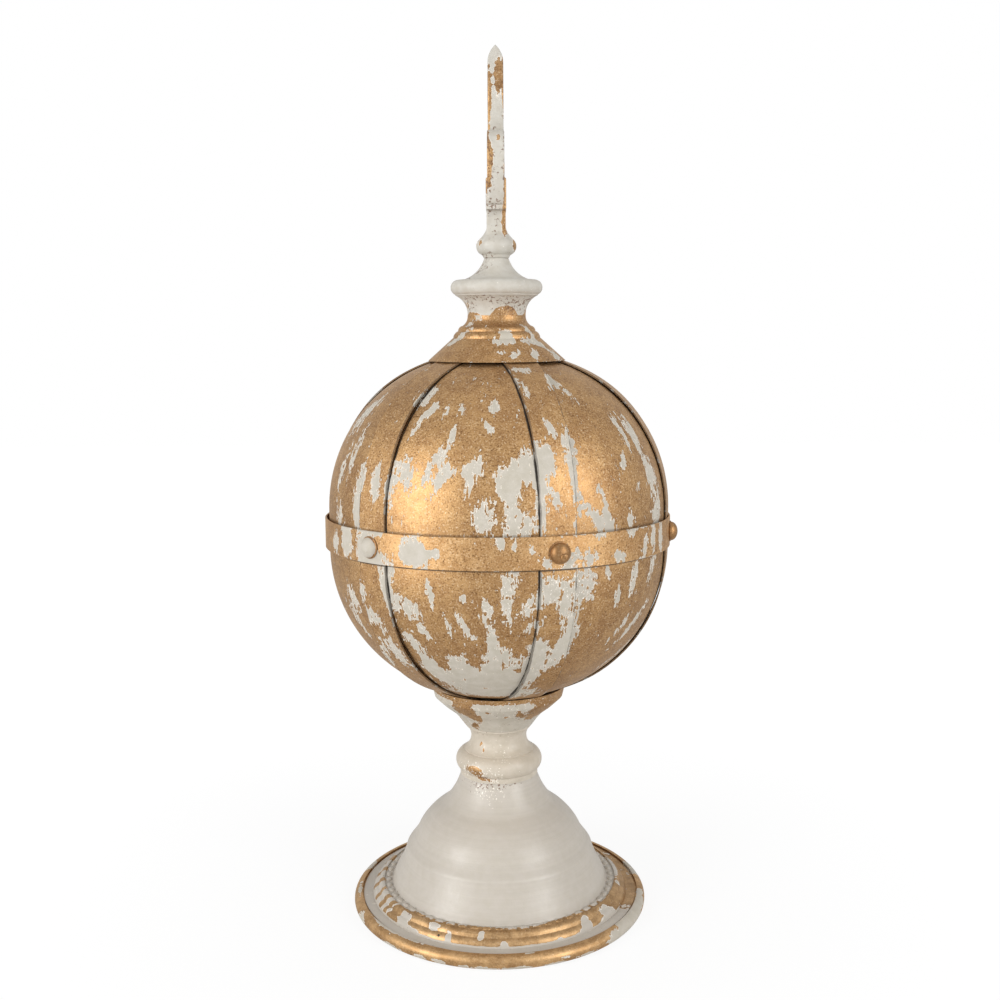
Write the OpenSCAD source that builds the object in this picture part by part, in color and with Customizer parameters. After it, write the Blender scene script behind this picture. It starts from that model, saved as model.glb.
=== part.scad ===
// Roof finial: a strapped and belted ball on a flared sheet base, under a collar, a knop and a fleur-de-lis.
// Millimetres, +Z up, origin at the centre of the base's underside. The ornament's edge faces -Y.
// Every piece of the stack stands on the one below it, so heights follow from the sizes named here.

/* [Base] */
// Outer diameter of the rolled ring the finial stands on
base_d = 252.4; // [200:0.2:320]
// Thickness of the rolled edge of that ring, seen in section
roll_d = 11.6; // [8:0.1:20]
// Width of the flat worn on the underside of the rolled edge
foot_flat = 3.8; // [1:0.1:6]
// Inner diameter of the shelf that carries the dome's flange
shelf_d = 208; // [180:1:230]
// Height of the shelf's top above the ground
shelf_z = 8.8; // [6:0.1:14]
// Thickness of the spun sheet
sheet_t = 1.2; // [0.8:0.1:3]
// Open gap between the flange's edge and the ring around it
flange_gap = 1.5; // [0.5:0.1:3]
// Lip left standing between that gap and the crown of the rolled edge
lip_w = 0.8; // [0.4:0.1:2]
// Width of the flat band at the flange's edge
flange_band = 8; // [4:0.5:14]
// Horizontal run of the outer ridge pressed into the flange
outer_ridge_run = 4.6; // [3:0.1:8]
// Rise of the outer ridge
outer_ridge_rise = 6.1; // [3:0.1:10]
// Horizontal run of the inner ridge
inner_ridge_run = 5; // [3:0.1:8]
// Rise of the inner ridge
inner_ridge_rise = 4.4; // [2:0.1:8]
// How far the two ridges swell out
ridge_swell = 1.1; // [0.2:0.1:2]
// Drop from the inner ridge into the beaded band round the dome
band_drop = 1.1; // [0.4:0.1:2]
// Width of the beaded band round the dome
band_w = 7; // [4:0.5:12]
// Height of the crease round the dome, above the beaded band
crease_h = 29.8; // [20:0.1:40]
// Radius of the dome at the crease
crease_r = 80.2; // [65:0.1:95]
// Set-in of the dome just above the crease
crease_step = 1; // [0.3:0.1:3]
// Height of the dome's haunch above the crease
haunch_h = 20.4; // [14:0.2:30]
// Radius at the haunch
haunch_r = 67.1; // [50:0.1:80]
// Height of the dome's shoulder above the haunch
shoulder_h = 10; // [6:0.2:16]
// Radius at the shoulder
shoulder_r = 58.3; // [40:0.1:70]
// Height of the throat above the shoulder
throat_h = 10; // [6:0.2:16]
// Radius at the throat
throat_r = 45.8; // [30:0.1:60]
// Height of the neck above the throat
neck_h = 24; // [14:0.2:30]
// Radius at the top of the neck
neck_r = 33; // [24:0.1:40]

/* [Lower knop and cup] */
// Height of the lower knop, from the dome to the top of its small ring
knop_h = 43.6; // [34:0.2:60]
// Greatest diameter of the lower knop
knop_d = 74; // [60:0.2:90]
// Radius of the knop's rounded swelling, in section
knop_round = 9.6; // [6:0.1:14]
// Height of the swelling's middle above the dome
knop_mid = 11.6; // [8:0.1:18]
// Radius at the waist above the swelling
waist_r = 23.8; // [16:0.1:30]
// Radius of the hollow curve of the waist, in section
waist_hollow = 13; // [9:0.1:20]
// Height of the waist above the dome
waist_z = 32.5; // [26:0.1:40]
// Diameter of the small ring under the cup
ring_d = 56; // [48:0.2:64]
// Thickness of that ring
ring_h = 2.4; // [1:0.1:5]
// Radius at the foot of the cup
cup_foot_r = 29.4; // [24:0.1:34]
// Radius of the cup at its rim, outside
cup_rim_r = 57.2; // [50:0.1:68]
// Height of the cup
cup_h = 35.2; // [28:0.2:44]
// Radius of the cup where its foot turns into the bowl
cup_turn_r = 37.6; // [31:0.1:44]
// Height of that turn, as a share of the cup's height
cup_turn_at = 0.3; // [0.2:0.01:0.4]
// Height of the upright band under the cup's rim
cup_band_h = 9.5; // [4:0.1:12]
// How far that band leans in at its foot
cup_band_in = 2.3; // [0.5:0.1:5]

/* [Ball] */
// Radius of the ball at its belt
ball_r = 140.5; // [110:0.5:170]
// Radius of a half ball's curve, in section: a little less than the ball's own
ball_round = 126; // [95:0.5:160]
// Height of the straight band between the half balls, under the belt
ball_band = 31.8; // [0:0.5:40]

/* [Straps and belt] */
// Number of straps and of rivets
strap_n = 6; // [6:1:6]
// Direction of the first strap, turned from the front toward the right
strap_turn = 18.3; // [0:0.1:59.9]
// Width of a strap
strap_w = 28; // [16:0.5:36]
// Thickness of a strap
strap_t = 1.2; // [0.8:0.1:2.5]
// Distance from the axis at which the straps end under the collar and in the cup
strap_end = 44; // [34:0.5:48]
// Height of the belt
belt_h = 24.4; // [18:0.2:34]
// Thickness of the belt
belt_t = 1.3; // [0.8:0.1:3]
// Drop of the belt's middle below the middle of the ball
belt_drop = 2.5; // [0:0.1:6]
// Diameter of a rivet's flange
rivet_d = 17; // [12:0.2:22]
// Thickness of that flange
rivet_flange = 0.8; // [0.4:0.1:2]
// Diameter of a rivet's round head
head_d = 15.4; // [10:0.2:20]
// Height of a rivet, flange and head together
rivet_h = 6.3; // [4:0.1:9]

/* [Collar and upper knop] */
// Forward lean of everything above the ball, in degrees
crown_lean = 2.5; // [0:0.5:5]
// Radius of the collar at its lower edge, outside
collar_r = 56.4; // [50:0.1:66]
// Height of the collar's straight cone
cone_h = 18; // [10:0.2:24]
// Radius at the top of the cone
cone_top_r = 36.2; // [30:0.1:44]
// Height of the lower moulding
moulding_a_h = 5.6; // [3:0.1:8]
// Radius at the top of the lower moulding
moulding_a_r = 32.2; // [28:0.1:40]
// Height of the upper moulding
moulding_b_h = 4.4; // [2:0.1:7]
// Radius at the top of the upper moulding
moulding_b_r = 28.6; // [25:0.1:36]
// Swell of the mouldings
moulding_swell = 0.9; // [0.2:0.1:2]
// Height of the hollow sweep above the mouldings
sweep_h = 8.4; // [5:0.1:14]
// Radius at the top of the collar
collar_top_r = 23.8; // [18:0.1:30]
// Height of the upper knop's body, up to its rim's middle
crown_knop_h = 22.4; // [16:0.1:30]
// Radius of the hollow curve under the rim, in section
crown_hollow = 16.5; // [11:0.1:24]
// Greatest diameter of the rim
rim_d = 75; // [60:0.2:90]
// Thickness of the rim
rim_t = 12.4; // [8:0.1:16]
// Radius at which the cone above the rim begins
spire_r = 27.5; // [20:0.1:31]
// Height of that cone
spire_h = 16.8; // [10:0.1:24]
// Hollow of its side
spire_hollow = 3; // [0:0.1:5]
// Radius at its top
spire_top_r = 10; // [8:0.1:14]

/* [Fleur-de-lis] */
// Diameter of the bulb at the ornament's foot
bulb_d = 32.8; // [24:0.2:40]
// Height of the bulb's middle above the cone
bulb_z = 9.8; // [7:0.1:14]
// Radius of the bulb's rounding, in section
bulb_round = 7.2; // [5:0.1:9]
// Height of the ornament above the upper knop
fleur_h = 165.4; // [120:0.2:200]
// Width across the two side petals
fleur_w = 108; // [80:1:130]
// Thickness of the petals
petal_t = 12.4; // [8:0.1:20]
// Thickness of the side petals at their shoulders
side_petal_t = 13.2; // [8:0.1:20]
// Thickness of the stem
stem_t = 15.4; // [8:0.1:20]
// Width of the stem under the band
stem_wide = 17; // [10:0.5:26]
// Height of the band's lower edge above the upper knop
band_z = 37.4; // [30:0.2:50]
// Height of the band
band_h = 24.4; // [14:0.2:34]
// Thickness of the band
band_t = 16.2; // [10:0.1:24]
// Width of the band
band_wide = 38; // [26:0.5:50]
// Radius of the curl at a side petal's end
curl_r = 6.6; // [5.2:0.1:9]
// Greatest width of the middle petal
middle_w = 46; // [30:0.5:60]
// Height of its widest place below the tip
middle_drop = 43; // [30:0.5:60]
// Length over which the tip is thinned to its point
tip_l = 15.2; // [8:0.1:24]

/* [Hidden] */
$fn = 96;
fit = 0.15;
strap_seat = 0.1;
roll_r = roll_d / 2;
roll_z = sqrt(roll_r * roll_r - foot_flat * foot_flat / 4);
roll_x = base_d / 2 - roll_r;
lip_x = roll_x - lip_w;
flange_r = lip_x - flange_gap;
flange_z = shelf_z + sheet_t;
ridge_r = flange_r - flange_band;
ridge_mid = [ridge_r - outer_ridge_run, flange_z + outer_ridge_rise];
ridge_top = [ridge_mid[0] - inner_ridge_run, ridge_mid[1] + inner_ridge_rise];
band_top_z = ridge_top[1] - band_drop;
root_r = ridge_top[0] - 0.4 - band_w;
crease_z = band_top_z + crease_h;
haunch_z = crease_z + haunch_h;
shoulder_z = haunch_z + shoulder_h;
throat_z = shoulder_z + throat_h;
dome_z = throat_z + neck_h;
cup_z = dome_z + knop_h;
cup_rim_z = cup_z + cup_h;
ball_in = ball_r - ball_round;
strap_r = ball_round + strap_seat + strap_t;
cup_band_r = cup_rim_r - cup_band_in;
cup_band_z = cup_rim_z - cup_band_h;
cup_in = cup_rim_r - sheet_t * norm([cup_band_h, cup_band_in]) / cup_band_h;
low_z = cup_rim_z + seat_rise(cup_in);
high_z = low_z + ball_band;
ball_z = low_z + ball_band / 2;
belt_r = norm([ball_in + strap_r, strap_w / 2]) + fit;
collar_in = collar_r - sheet_t * norm([cone_h, collar_r - cone_top_r]) / cone_h;
collar_z = high_z + seat_rise(collar_in);
lean_z = high_z - ball_in * seat_rise(collar_in) / (strap_at(collar_in) - ball_in);
cone_z = collar_z + cone_h;
moulding_a_z = cone_z + moulding_a_h;
moulding_b_z = moulding_a_z + moulding_b_h;
upper_knop_z = moulding_b_z + sweep_h;
rim_z = upper_knop_z + crown_knop_h;
spire_z = rim_z + rim_t / 2;
fleur_z = spire_z + spire_h;
tip_z = fleur_z + fleur_h;
middle_z = tip_z - middle_drop;
band_bottom = fleur_z + band_z;
band_top = band_bottom + band_h;

// ---- shared shapes ----

// distance of the straps' outer face from the axis where a round rim of radius r touches their edges
function strap_at(r) = sqrt(pow(r - fit, 2) - strap_w * strap_w / 4);

// height over the middle of a half ball's curve at which that rim touches them
function seat_rise(r) = sqrt(strap_r * strap_r - pow(strap_at(r) - ball_in, 2));

// n+1 points from a to b, bowed h to the left of the way from a to b
function bow(a, b, h, n) = [
    for (i = [0 : n])
        a + (b - a) * i / n + [a[1] - b[1], b[0] - a[0]] / norm(b - a) * h * 4 * (i / n) * (1 - i / n)
];

// n+1 points of an arc round c, from angle a to angle b
function arc(c, r, a, b, n) = [for (i = [0 : n]) c + r * [cos(a + (b - a) * i / n), sin(a + (b - a) * i / n)]];

// one point of the smooth curve through b and c
function curve_at(a, b, c, d, t) =
    0.5 * (2 * b + (c - a) * t + (2 * a - 5 * b + 4 * c - d) * t * t + (3 * b - a - 3 * c + d) * t * t * t);

// n points a span on the smooth curve through all of p
function smooth(p, n) = concat(
    [for (i = [0 : len(p) - 2])
        for (k = [0 : n - 1])
            curve_at(p[max(0, i - 1)], p[i], p[i + 1], p[min(len(p) - 1, i + 2)], k / n)],
    [p[len(p) - 1]]
);

// left-hand normal of the way from a to b
function left(a, b) = [a[1] - b[1], b[0] - a[0]] / norm(b - a);

// the point of path p at i, moved t to the left with its corner kept sharp
function moved(p, i, t) =
    let (u = left(p[max(0, i - 1)], p[max(1, i)]))
    let (v = left(p[min(len(p) - 2, i)], p[min(len(p) - 1, i + 1)]))
    p[i] + (u + v) * t / (1 + u * v);

// a path and its copy moved t to the left: the section of a sheet
function sheet(p, t) = concat(p, [for (i = [len(p) - 1 : -1 : 0]) moved(p, i, t)]);

module crown() {
    translate([0, 0, lean_z])
        rotate([crown_lean, 0, 0])
            translate([0, 0, -lean_z])
                children();
}

// right half of the ball's outline, grown by g
module ball_outline(g) {
    intersection() {
        union() {
            translate([ball_in, low_z])
                circle(ball_round + g);
            translate([ball_in, high_z])
                circle(ball_round + g);
            translate([0, low_z])
                square([ball_r + g, ball_band]);
            translate([0, low_z - ball_round - g])
                square([ball_in, 2 * (ball_round + g) + ball_band]);
        }
        translate([0, low_z - 2 * ball_r])
            square([2 * ball_r, 4 * ball_r + ball_band]);
    }
}

// ---- base ----

module base_ring() {
    color("darkgoldenrod")
        rotate_extrude()
            difference() {
                union() {
                    translate([roll_x, roll_z])
                        circle(roll_r);
                    translate([shelf_d / 2, shelf_z - sheet_t])
                        square([roll_x - shelf_d / 2, sheet_t]);
                }
                translate([0, -roll_d])
                    square([base_d, roll_d]);
                translate([0, shelf_z])
                    square([lip_x, roll_d]);
            }
}

dome_path = concat(
    [[flange_r, flange_z]],
    bow([ridge_r, flange_z], ridge_mid, -ridge_swell, 6),
    bow(ridge_mid + [-0.2, 0.2], ridge_top, -ridge_swell, 6),
    [[ridge_top[0] - 0.4, band_top_z], [root_r, band_top_z]],
    smooth([
        [root_r - 0.6, band_top_z + 1.2],
        [crease_r + (root_r - crease_r) * 0.78, band_top_z + crease_h * 0.24],
        [crease_r + (root_r - crease_r) * 0.44, band_top_z + crease_h * 0.5],
        [crease_r + (root_r - crease_r) * 0.18, band_top_z + crease_h * 0.76],
        [crease_r, crease_z]
    ], 3),
    smooth([
        [crease_r - crease_step, crease_z + 1.6],
        [(crease_r + haunch_r) / 2 - 0.9, (crease_z + haunch_z) / 2],
        [haunch_r, haunch_z],
        [shoulder_r, shoulder_z],
        [throat_r, throat_z],
        [(throat_r + neck_r) / 2 - 1.2, throat_z + neck_h * 0.45],
        [neck_r + 0.4, dome_z - 2.4]
    ], 4),
    [[neck_r, dome_z - 1.6], [neck_r, dome_z]]
);

module base_dome() {
    color("gainsboro")
        rotate_extrude()
            polygon(sheet(dome_path, sheet_t));
}

// ---- lower knop and cup ----

module lower_knop() {
    color("gainsboro")
        translate([0, 0, dome_z])
            rotate_extrude()
                intersection() {
                    difference() {
                        union() {
                            square([neck_r + 0.3, knop_mid]);
                            translate([knop_d / 2 - knop_round, knop_mid])
                                circle(knop_round);
                            square([waist_r + 6, knop_h - ring_h]);
                            translate([0, knop_h - ring_h])
                                square([ring_d / 2, ring_h]);
                        }
                        intersection() {
                            translate([waist_r + waist_hollow, waist_z])
                                circle(waist_hollow);
                            square([knop_d, knop_h - ring_h]);
                        }
                    }
                    square([knop_d, knop_h]);
                }
}

cup_turn_z = cup_z + cup_h * cup_turn_at;

cup_path = concat(
    [[cup_rim_r, cup_rim_z]],
    smooth([
        [cup_band_r, cup_band_z],
        [(cup_band_r + cup_turn_r) / 2 + 0.6, (cup_band_z + cup_turn_z) / 2],
        [cup_turn_r, cup_turn_z],
        [cup_foot_r, cup_z]
    ], 5),
    [[0, cup_z]]
);

module lower_cup() {
    color("darkgoldenrod")
        rotate_extrude()
            intersection() {
                polygon(concat(sheet(cup_path, -sheet_t)));
                translate([0, cup_z])
                    square([cup_rim_r + 2, cup_h]);
            }
}

// ---- ball, straps, belt and rivets ----

module ball() {
    color("goldenrod")
        rotate_extrude()
            ball_outline(0);
}

module strap(i) {
    color("darkgoldenrod")
        rotate([0, 0, strap_turn - 90 + i * 360 / strap_n])
            rotate([90, 0, 0])
                linear_extrude(strap_w, center = true)
                    difference() {
                        ball_outline(strap_seat + strap_t);
                        ball_outline(strap_seat);
                        translate([-1, low_z - 2 * ball_r])
                            square([strap_end + 1, 4 * ball_r + ball_band]);
                    }
}

module strap_1() { strap(0); }
module strap_2() { strap(1); }
module strap_3() { strap(2); }
module strap_4() { strap(3); }
module strap_5() { strap(4); }
module strap_6() { strap(5); }

module belt() {
    color("darkgoldenrod")
        translate([0, 0, ball_z - belt_drop - belt_h / 2])
            rotate_extrude()
                translate([belt_r, 0])
                    square([belt_t, belt_h]);
}

module rivet(i) {
    dome_h = rivet_h - rivet_flange;
    dome_r = (head_d * head_d / 4 + dome_h * dome_h) / (2 * dome_h);
    color("peru")
        rotate([0, 0, strap_turn - 90 + i * 360 / strap_n])
            translate([belt_r + belt_t + strap_seat, 0, ball_z - belt_drop])
                rotate([0, 90, 0])
                    rotate_extrude() {
                        square([rivet_d / 2, rivet_flange]);
                        intersection() {
                            translate([0, rivet_h - dome_r])
                                circle(dome_r);
                            square([head_d / 2, rivet_h]);
                        }
                    }
}

module rivet_1() { rivet(0); }
module rivet_2() { rivet(1); }
module rivet_3() { rivet(2); }
module rivet_4() { rivet(3); }
module rivet_5() { rivet(4); }
module rivet_6() { rivet(5); }

// ---- collar and upper knop ----

collar_path = concat(
    [[collar_r, collar_z]],
    bow([cone_top_r, cone_z], [moulding_a_r, moulding_a_z], -moulding_swell, 6),
    bow([moulding_a_r - 0.5, moulding_a_z + 0.2], [moulding_b_r, moulding_b_z], -moulding_swell, 6),
    bow([moulding_b_r - 0.4, moulding_b_z + 0.3], [collar_top_r, upper_knop_z - 1.2], moulding_swell, 6),
    [[collar_top_r, upper_knop_z]]
);

module upper_collar() {
    color("goldenrod")
        crown()
            rotate_extrude()
                intersection() {
                    polygon(sheet(collar_path, sheet_t));
                    translate([0, collar_z])
                        square([collar_r, upper_knop_z - collar_z]);
                }
}

module upper_knop() {
    color("gainsboro")
        crown()
            rotate_extrude() {
                difference() {
                    translate([0, upper_knop_z])
                        square([rim_d / 2 - rim_t * 0.3, crown_knop_h]);
                    translate([collar_top_r + crown_hollow, upper_knop_z + 1])
                        circle(crown_hollow);
                    translate([collar_top_r, upper_knop_z - 1])
                        square([rim_d, 2]);
                }
                translate([rim_d / 2 - rim_t / 2, rim_z])
                    circle(rim_t / 2);
                translate([0, rim_z])
                    square([rim_d / 2 - rim_t / 2, rim_t / 2]);
                polygon(concat(
                    [[0, spire_z - 1], [spire_r, spire_z - 1]],
                    bow([spire_r, spire_z], [spire_top_r, fleur_z], spire_hollow, 8),
                    [[0, fleur_z]]
                ));
            }
}

// ---- fleur-de-lis ----

// middle line of a side petal, from the band up, over and down to its curl
petal_line = smooth([
    [6, band_top - 8],
    [fleur_w * 0.12, band_top + 10],
    [fleur_w * 0.245, band_top + 25],
    [fleur_w * 0.385, band_top + 20.5],
    [fleur_w * 0.43, band_top + 5],
    [fleur_w * 0.41, band_bottom + 15],
    [fleur_w * 0.33, band_bottom + 3]
], 6);

// half-width of a side petal along that line: full over its shoulder, slim, then a round curl
function petal_half(t) =
    t > 0.93
        ? curl_r * sqrt(max(0.02, 1 - pow((t - 0.93) / 0.07, 2)))
        : 5 + 3.4 * sin(180 * min(1, t * 1.25)) + (curl_r - 5) * pow(max(0, (t - 0.8) / 0.13), 2);

module side_petal() {
    n = len(petal_line) - 1;
    polygon(concat(
        [for (i = [0 : n]) moved(petal_line, i, petal_half(i / n))],
        [for (i = [n : -1 : 0]) moved(petal_line, i, -petal_half(i / n))]
    ));
}

module middle_petal() {
    edge = concat(
        smooth([
            [7, band_top - 6],
            [8.5, band_top + 12],
            [middle_w * 0.42, middle_z - 17],
            [middle_w / 2, middle_z],
            [middle_w * 0.37, middle_z + middle_drop * 0.44],
            [1, tip_z]
        ], 5)
    );
    polygon(concat(edge, [for (i = [len(edge) - 1 : -1 : 0]) [-edge[i][0], edge[i][1]]]));
}

// a flat outline in the Y-Z plane, t thick
module plate(t) {
    rotate([90, 0, 90])
        linear_extrude(t, center = true)
            children();
}

// the ornament seen on edge: straight sides thinned to a point over the tip's length
module tip_outline() {
    h = petal_t / 2;
    r = (h * h + tip_l * tip_l) / (2 * h) - 0.6;
    translate([-h, band_bottom])
        square([petal_t, tip_z - tip_l - band_bottom]);
    intersection() {
        translate([h - r, tip_z - tip_l])
            circle(r);
        translate([r - h, tip_z - tip_l])
            circle(r);
        translate([-h, tip_z - tip_l])
            square([petal_t, tip_l]);
    }
}

module fleur_de_lis() {
    color("gainsboro")
        crown() {
            rotate_extrude()
                polygon(concat(
                    [[0, fleur_z], [spire_top_r, fleur_z]],
                    arc([bulb_d / 2 - bulb_round, fleur_z + bulb_z], bulb_round, -72, 52, 10),
                    bow([bulb_d / 2 - 4, fleur_z + bulb_z + 7], [stem_t * 0.44, fleur_z + bulb_z + 21], 1.6, 6),
                    [[0, fleur_z + bulb_z + 21]]
                ));
            plate(stem_t)
                translate([-stem_wide / 2, fleur_z + bulb_z])
                    square([stem_wide, band_z - bulb_z + 4]);
            plate(band_t)
                translate([-band_wide / 2, band_bottom])
                    square([band_wide, band_h]);
            plate(side_petal_t) {
                side_petal();
                mirror([1, 0])
                    side_petal();
            }
            intersection() {
                plate(petal_t)
                    middle_petal();
                rotate([90, 0, 0])
                    linear_extrude(fleur_w, center = true)
                        tip_outline();
            }
        }
}

// Sub-part to draw, or "all"

base_ring();
base_dome();
lower_knop();
lower_cup();
ball();
strap_1();
strap_2();
strap_3();
strap_4();
strap_5();
strap_6();
belt();
rivet_1();
rivet_2();
rivet_3();
rivet_4();
rivet_5();
rivet_6();
upper_collar();
upper_knop();
fleur_de_lis();
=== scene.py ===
import math
import bmesh
import bpy
import numpy as np
from mathutils import Matrix, Vector


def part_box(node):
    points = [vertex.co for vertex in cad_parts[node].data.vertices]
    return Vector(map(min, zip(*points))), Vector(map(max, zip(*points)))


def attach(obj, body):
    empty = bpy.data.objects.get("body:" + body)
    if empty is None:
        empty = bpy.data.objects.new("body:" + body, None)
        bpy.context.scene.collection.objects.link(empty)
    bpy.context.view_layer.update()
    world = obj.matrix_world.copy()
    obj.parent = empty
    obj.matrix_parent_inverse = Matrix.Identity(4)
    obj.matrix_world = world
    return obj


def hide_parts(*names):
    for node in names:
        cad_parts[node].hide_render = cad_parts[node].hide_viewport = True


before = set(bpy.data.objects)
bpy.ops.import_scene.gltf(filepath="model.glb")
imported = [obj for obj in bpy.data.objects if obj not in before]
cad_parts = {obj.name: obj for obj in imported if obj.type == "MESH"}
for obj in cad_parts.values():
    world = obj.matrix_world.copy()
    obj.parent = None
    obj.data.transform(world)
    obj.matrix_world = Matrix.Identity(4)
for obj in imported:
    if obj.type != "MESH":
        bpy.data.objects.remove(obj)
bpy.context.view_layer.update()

# Weathered roof finial: gilded, strapped ball on a chalk-painted sheet base. Sizes in mm until a mesh is made.


# small tools

def tint(hexText, alpha=1.0):  # sRGB hex to a linear colour
    raw = [int(hexText[i:i + 2], 16) / 255 for i in (1, 3, 5)]
    return tuple(c / 12.92 if c <= 0.04045 else ((c + 0.055) / 1.055) ** 2.4 for c in raw) + (alpha,)


def addNode(tree, kind, links=None, **settings):
    # one node; links: input name or number -> value, socket, or a node, which stands for its first output
    node = tree.nodes.new(kind)
    for key, value in settings.items():
        setattr(node, key, value)
    for key, value in (links or {}).items():
        if isinstance(value, bpy.types.Node):
            value = value.outputs[0]
        if isinstance(value, bpy.types.NodeSocket):
            tree.links.new(value, node.inputs[key])
        else:
            node.inputs[key].default_value = value
    return node


def around(azimuth, radius, height):  # degrees from the front toward the right
    a = math.radians(azimuth)
    return Vector((radius * math.sin(a), -radius * math.cos(a), height))


def bow(a, b, rise, count):  # points from a to b, bowed to the left
    a, b = np.array(a, float), np.array(b, float)
    side = np.array([a[1] - b[1], b[0] - a[0]]) / np.linalg.norm(b - a)
    return [a + (b - a) * t + side * rise * 4 * t * (1 - t) for t in np.linspace(0, 1, count + 1)]


def arc(centre, radius, start, end, count):
    return [np.array(centre, float) + radius * np.array([math.cos(math.radians(t)), math.sin(math.radians(t))])
            for t in np.linspace(start, end, count + 1)]


def smooth(points, count):  # the smooth curve through all the points
    p = [np.array(q, float) for q in points]
    out = []
    for i in range(len(p) - 1):
        a, b, c, d = p[max(0, i - 1)], p[i], p[i + 1], p[min(len(p) - 1, i + 2)]
        for k in range(count):
            t = k / count
            out.append(0.5 * (2 * b + (c - a) * t + (2 * a - 5 * b + 4 * c - d) * t * t
                              + (3 * b - a - 3 * c + d) * t ** 3))
    return out + [p[-1]]


def wall(path, thickness):  # a path and its copy moved to the left: the closed section of a sheet
    p = np.array(path, float)
    inner = []
    for i in range(len(p)):
        u = p[max(1, i)] - p[max(0, i - 1)]
        v = p[min(len(p) - 1, i + 1)] - p[min(len(p) - 2, i)]
        u = np.array([-u[1], u[0]]) / np.linalg.norm(u)
        v = np.array([-v[1], v[0]]) / np.linalg.norm(v)
        inner.append(p[i] + (u + v) * thickness / (1 + u @ v))
    return list(p) + inner[::-1]


def finer(outline, step, closed):  # adds points so that no edge is longer than step
    pts = [np.array(q, float) for q in outline]
    if closed:
        pts.append(pts[0])
    out = [pts[0]]
    for a, b in zip(pts, pts[1:]):
        n = max(1, int(math.ceil(np.linalg.norm(b - a) / step)))
        out += [a + (b - a) * k / n for k in range(1, n + 1)]
    return out[:-1] if closed else out


def newMesh(name, verts, faces, sharpAngle=38):  # verts in mm
    mesh = bpy.data.meshes.new(name)
    mesh.from_pydata((np.asarray(verts, float) / 1000).tolist(), [], [tuple(f) for f in faces])
    bm = bmesh.new()
    bm.from_mesh(mesh)
    bmesh.ops.remove_doubles(bm, verts=bm.verts, dist=1e-6)
    bmesh.ops.recalc_face_normals(bm, faces=bm.faces)
    bm.to_mesh(mesh)
    bm.free()
    mesh.polygons.foreach_set("use_smooth", [True] * len(mesh.polygons))
    mesh.set_sharp_from_angle(angle=math.radians(sharpAngle))
    mesh.update()
    obj = bpy.data.objects.new(name, mesh)
    bpy.context.scene.collection.objects.link(obj)
    return obj


def spin(name, outline, closed=False, count=240, step=2.0, sharpAngle=38):  # a turned or spun piece
    pts = finer(outline, step, closed)
    verts, rings = [], []
    for r, z in pts:
        if r < 1e-6:
            rings.append([len(verts)])
            verts.append((0, 0, z))
        else:
            rings.append(list(range(len(verts), len(verts) + count)))
            a = np.linspace(0, 2 * math.pi, count, endpoint=False)
            verts += np.c_[r * np.sin(a), -r * np.cos(a), np.full(count, z)].tolist()
    if closed:
        rings.append(rings[0])
    faces = []
    for low, high in zip(rings, rings[1:]):
        for i in range(count):
            j = (i + 1) % count
            if len(low) == 1 and len(high) == 1:
                break
            if len(low) == 1:
                faces.append((low[0], high[i], high[j]))
            elif len(high) == 1:
                faces.append((low[i], low[j], high[0]))
            else:
                faces.append((low[i], low[j], high[j], high[i]))
    return newMesh(name, verts, faces, sharpAngle)


def coords(obj):
    co = np.empty(len(obj.data.vertices) * 3)
    obj.data.vertices.foreach_get("co", co)
    return co.reshape(-1, 3) * 1000


def bump(d):  # 1 inside a mark, 0 well outside it
    return np.clip((1.75 - d) / 1.25, 0, 1)


def markField(co, marks, down=False, way=None):
    # marks: azimuth, height or radius, half length, half width, lean, amount; lean in degrees from the way up
    # way: how far up the surface each point is, where neither height nor radius says it
    field = np.zeros(len(co))
    rho = np.hypot(co[:, 0], co[:, 1])
    for azimuth, place, long, wide, lean, amount in marks:
        a = math.radians(azimuth)
        out = np.array([math.sin(a), -math.cos(a)])
        side = np.array([math.cos(a), math.sin(a)])
        front = co[:, :2] @ out > 0
        du = co[:, :2] @ side
        if way is not None:
            dv = way - place
        elif down:  # on the flange, where the way up is the way in
            dv = place - rho
        else:
            near = front & (np.abs(co[:, 2] - place) < 2.5) & (np.abs(du) < wide + long)
            base = rho[near].mean() if near.any() else rho.mean()
            dv = np.hypot(co[:, 2] - place, rho - base) * np.sign(co[:, 2] - place)
        c, s = math.cos(math.radians(lean)), math.sin(math.radians(lean))
        d = np.hypot((dv * c + du * s) / long, (du * c - dv * s) / wide)
        d[~front] = 9
        field += amount * bump(d)
    return field


def wear(obj, leaf, fleck=0.0, dirtAndShade=0.0):  # how much leaf is left, how many pale flecks, how much dark soiling and painted shade, at each point
    n = len(obj.data.vertices)
    layer = obj.data.attributes.new("wear", "FLOAT_COLOR", "POINT")
    data = np.ones((n, 4))
    data[:, 0], data[:, 1], data[:, 2] = np.clip(leaf, -1, 1), np.clip(fleck, 0, 1), np.clip(dirtAndShade, 0, 1)
    layer.data.foreach_set("color", data.ravel())


def finish(obj, material, slot, *nodes):
    obj.data.materials.clear()
    obj.data.materials.append(material)
    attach(obj, "root")
    if nodes:
        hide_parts(*nodes)
    print("made", obj.name, len(obj.data.vertices))


# sizes that several pieces share, mm and degrees

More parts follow.
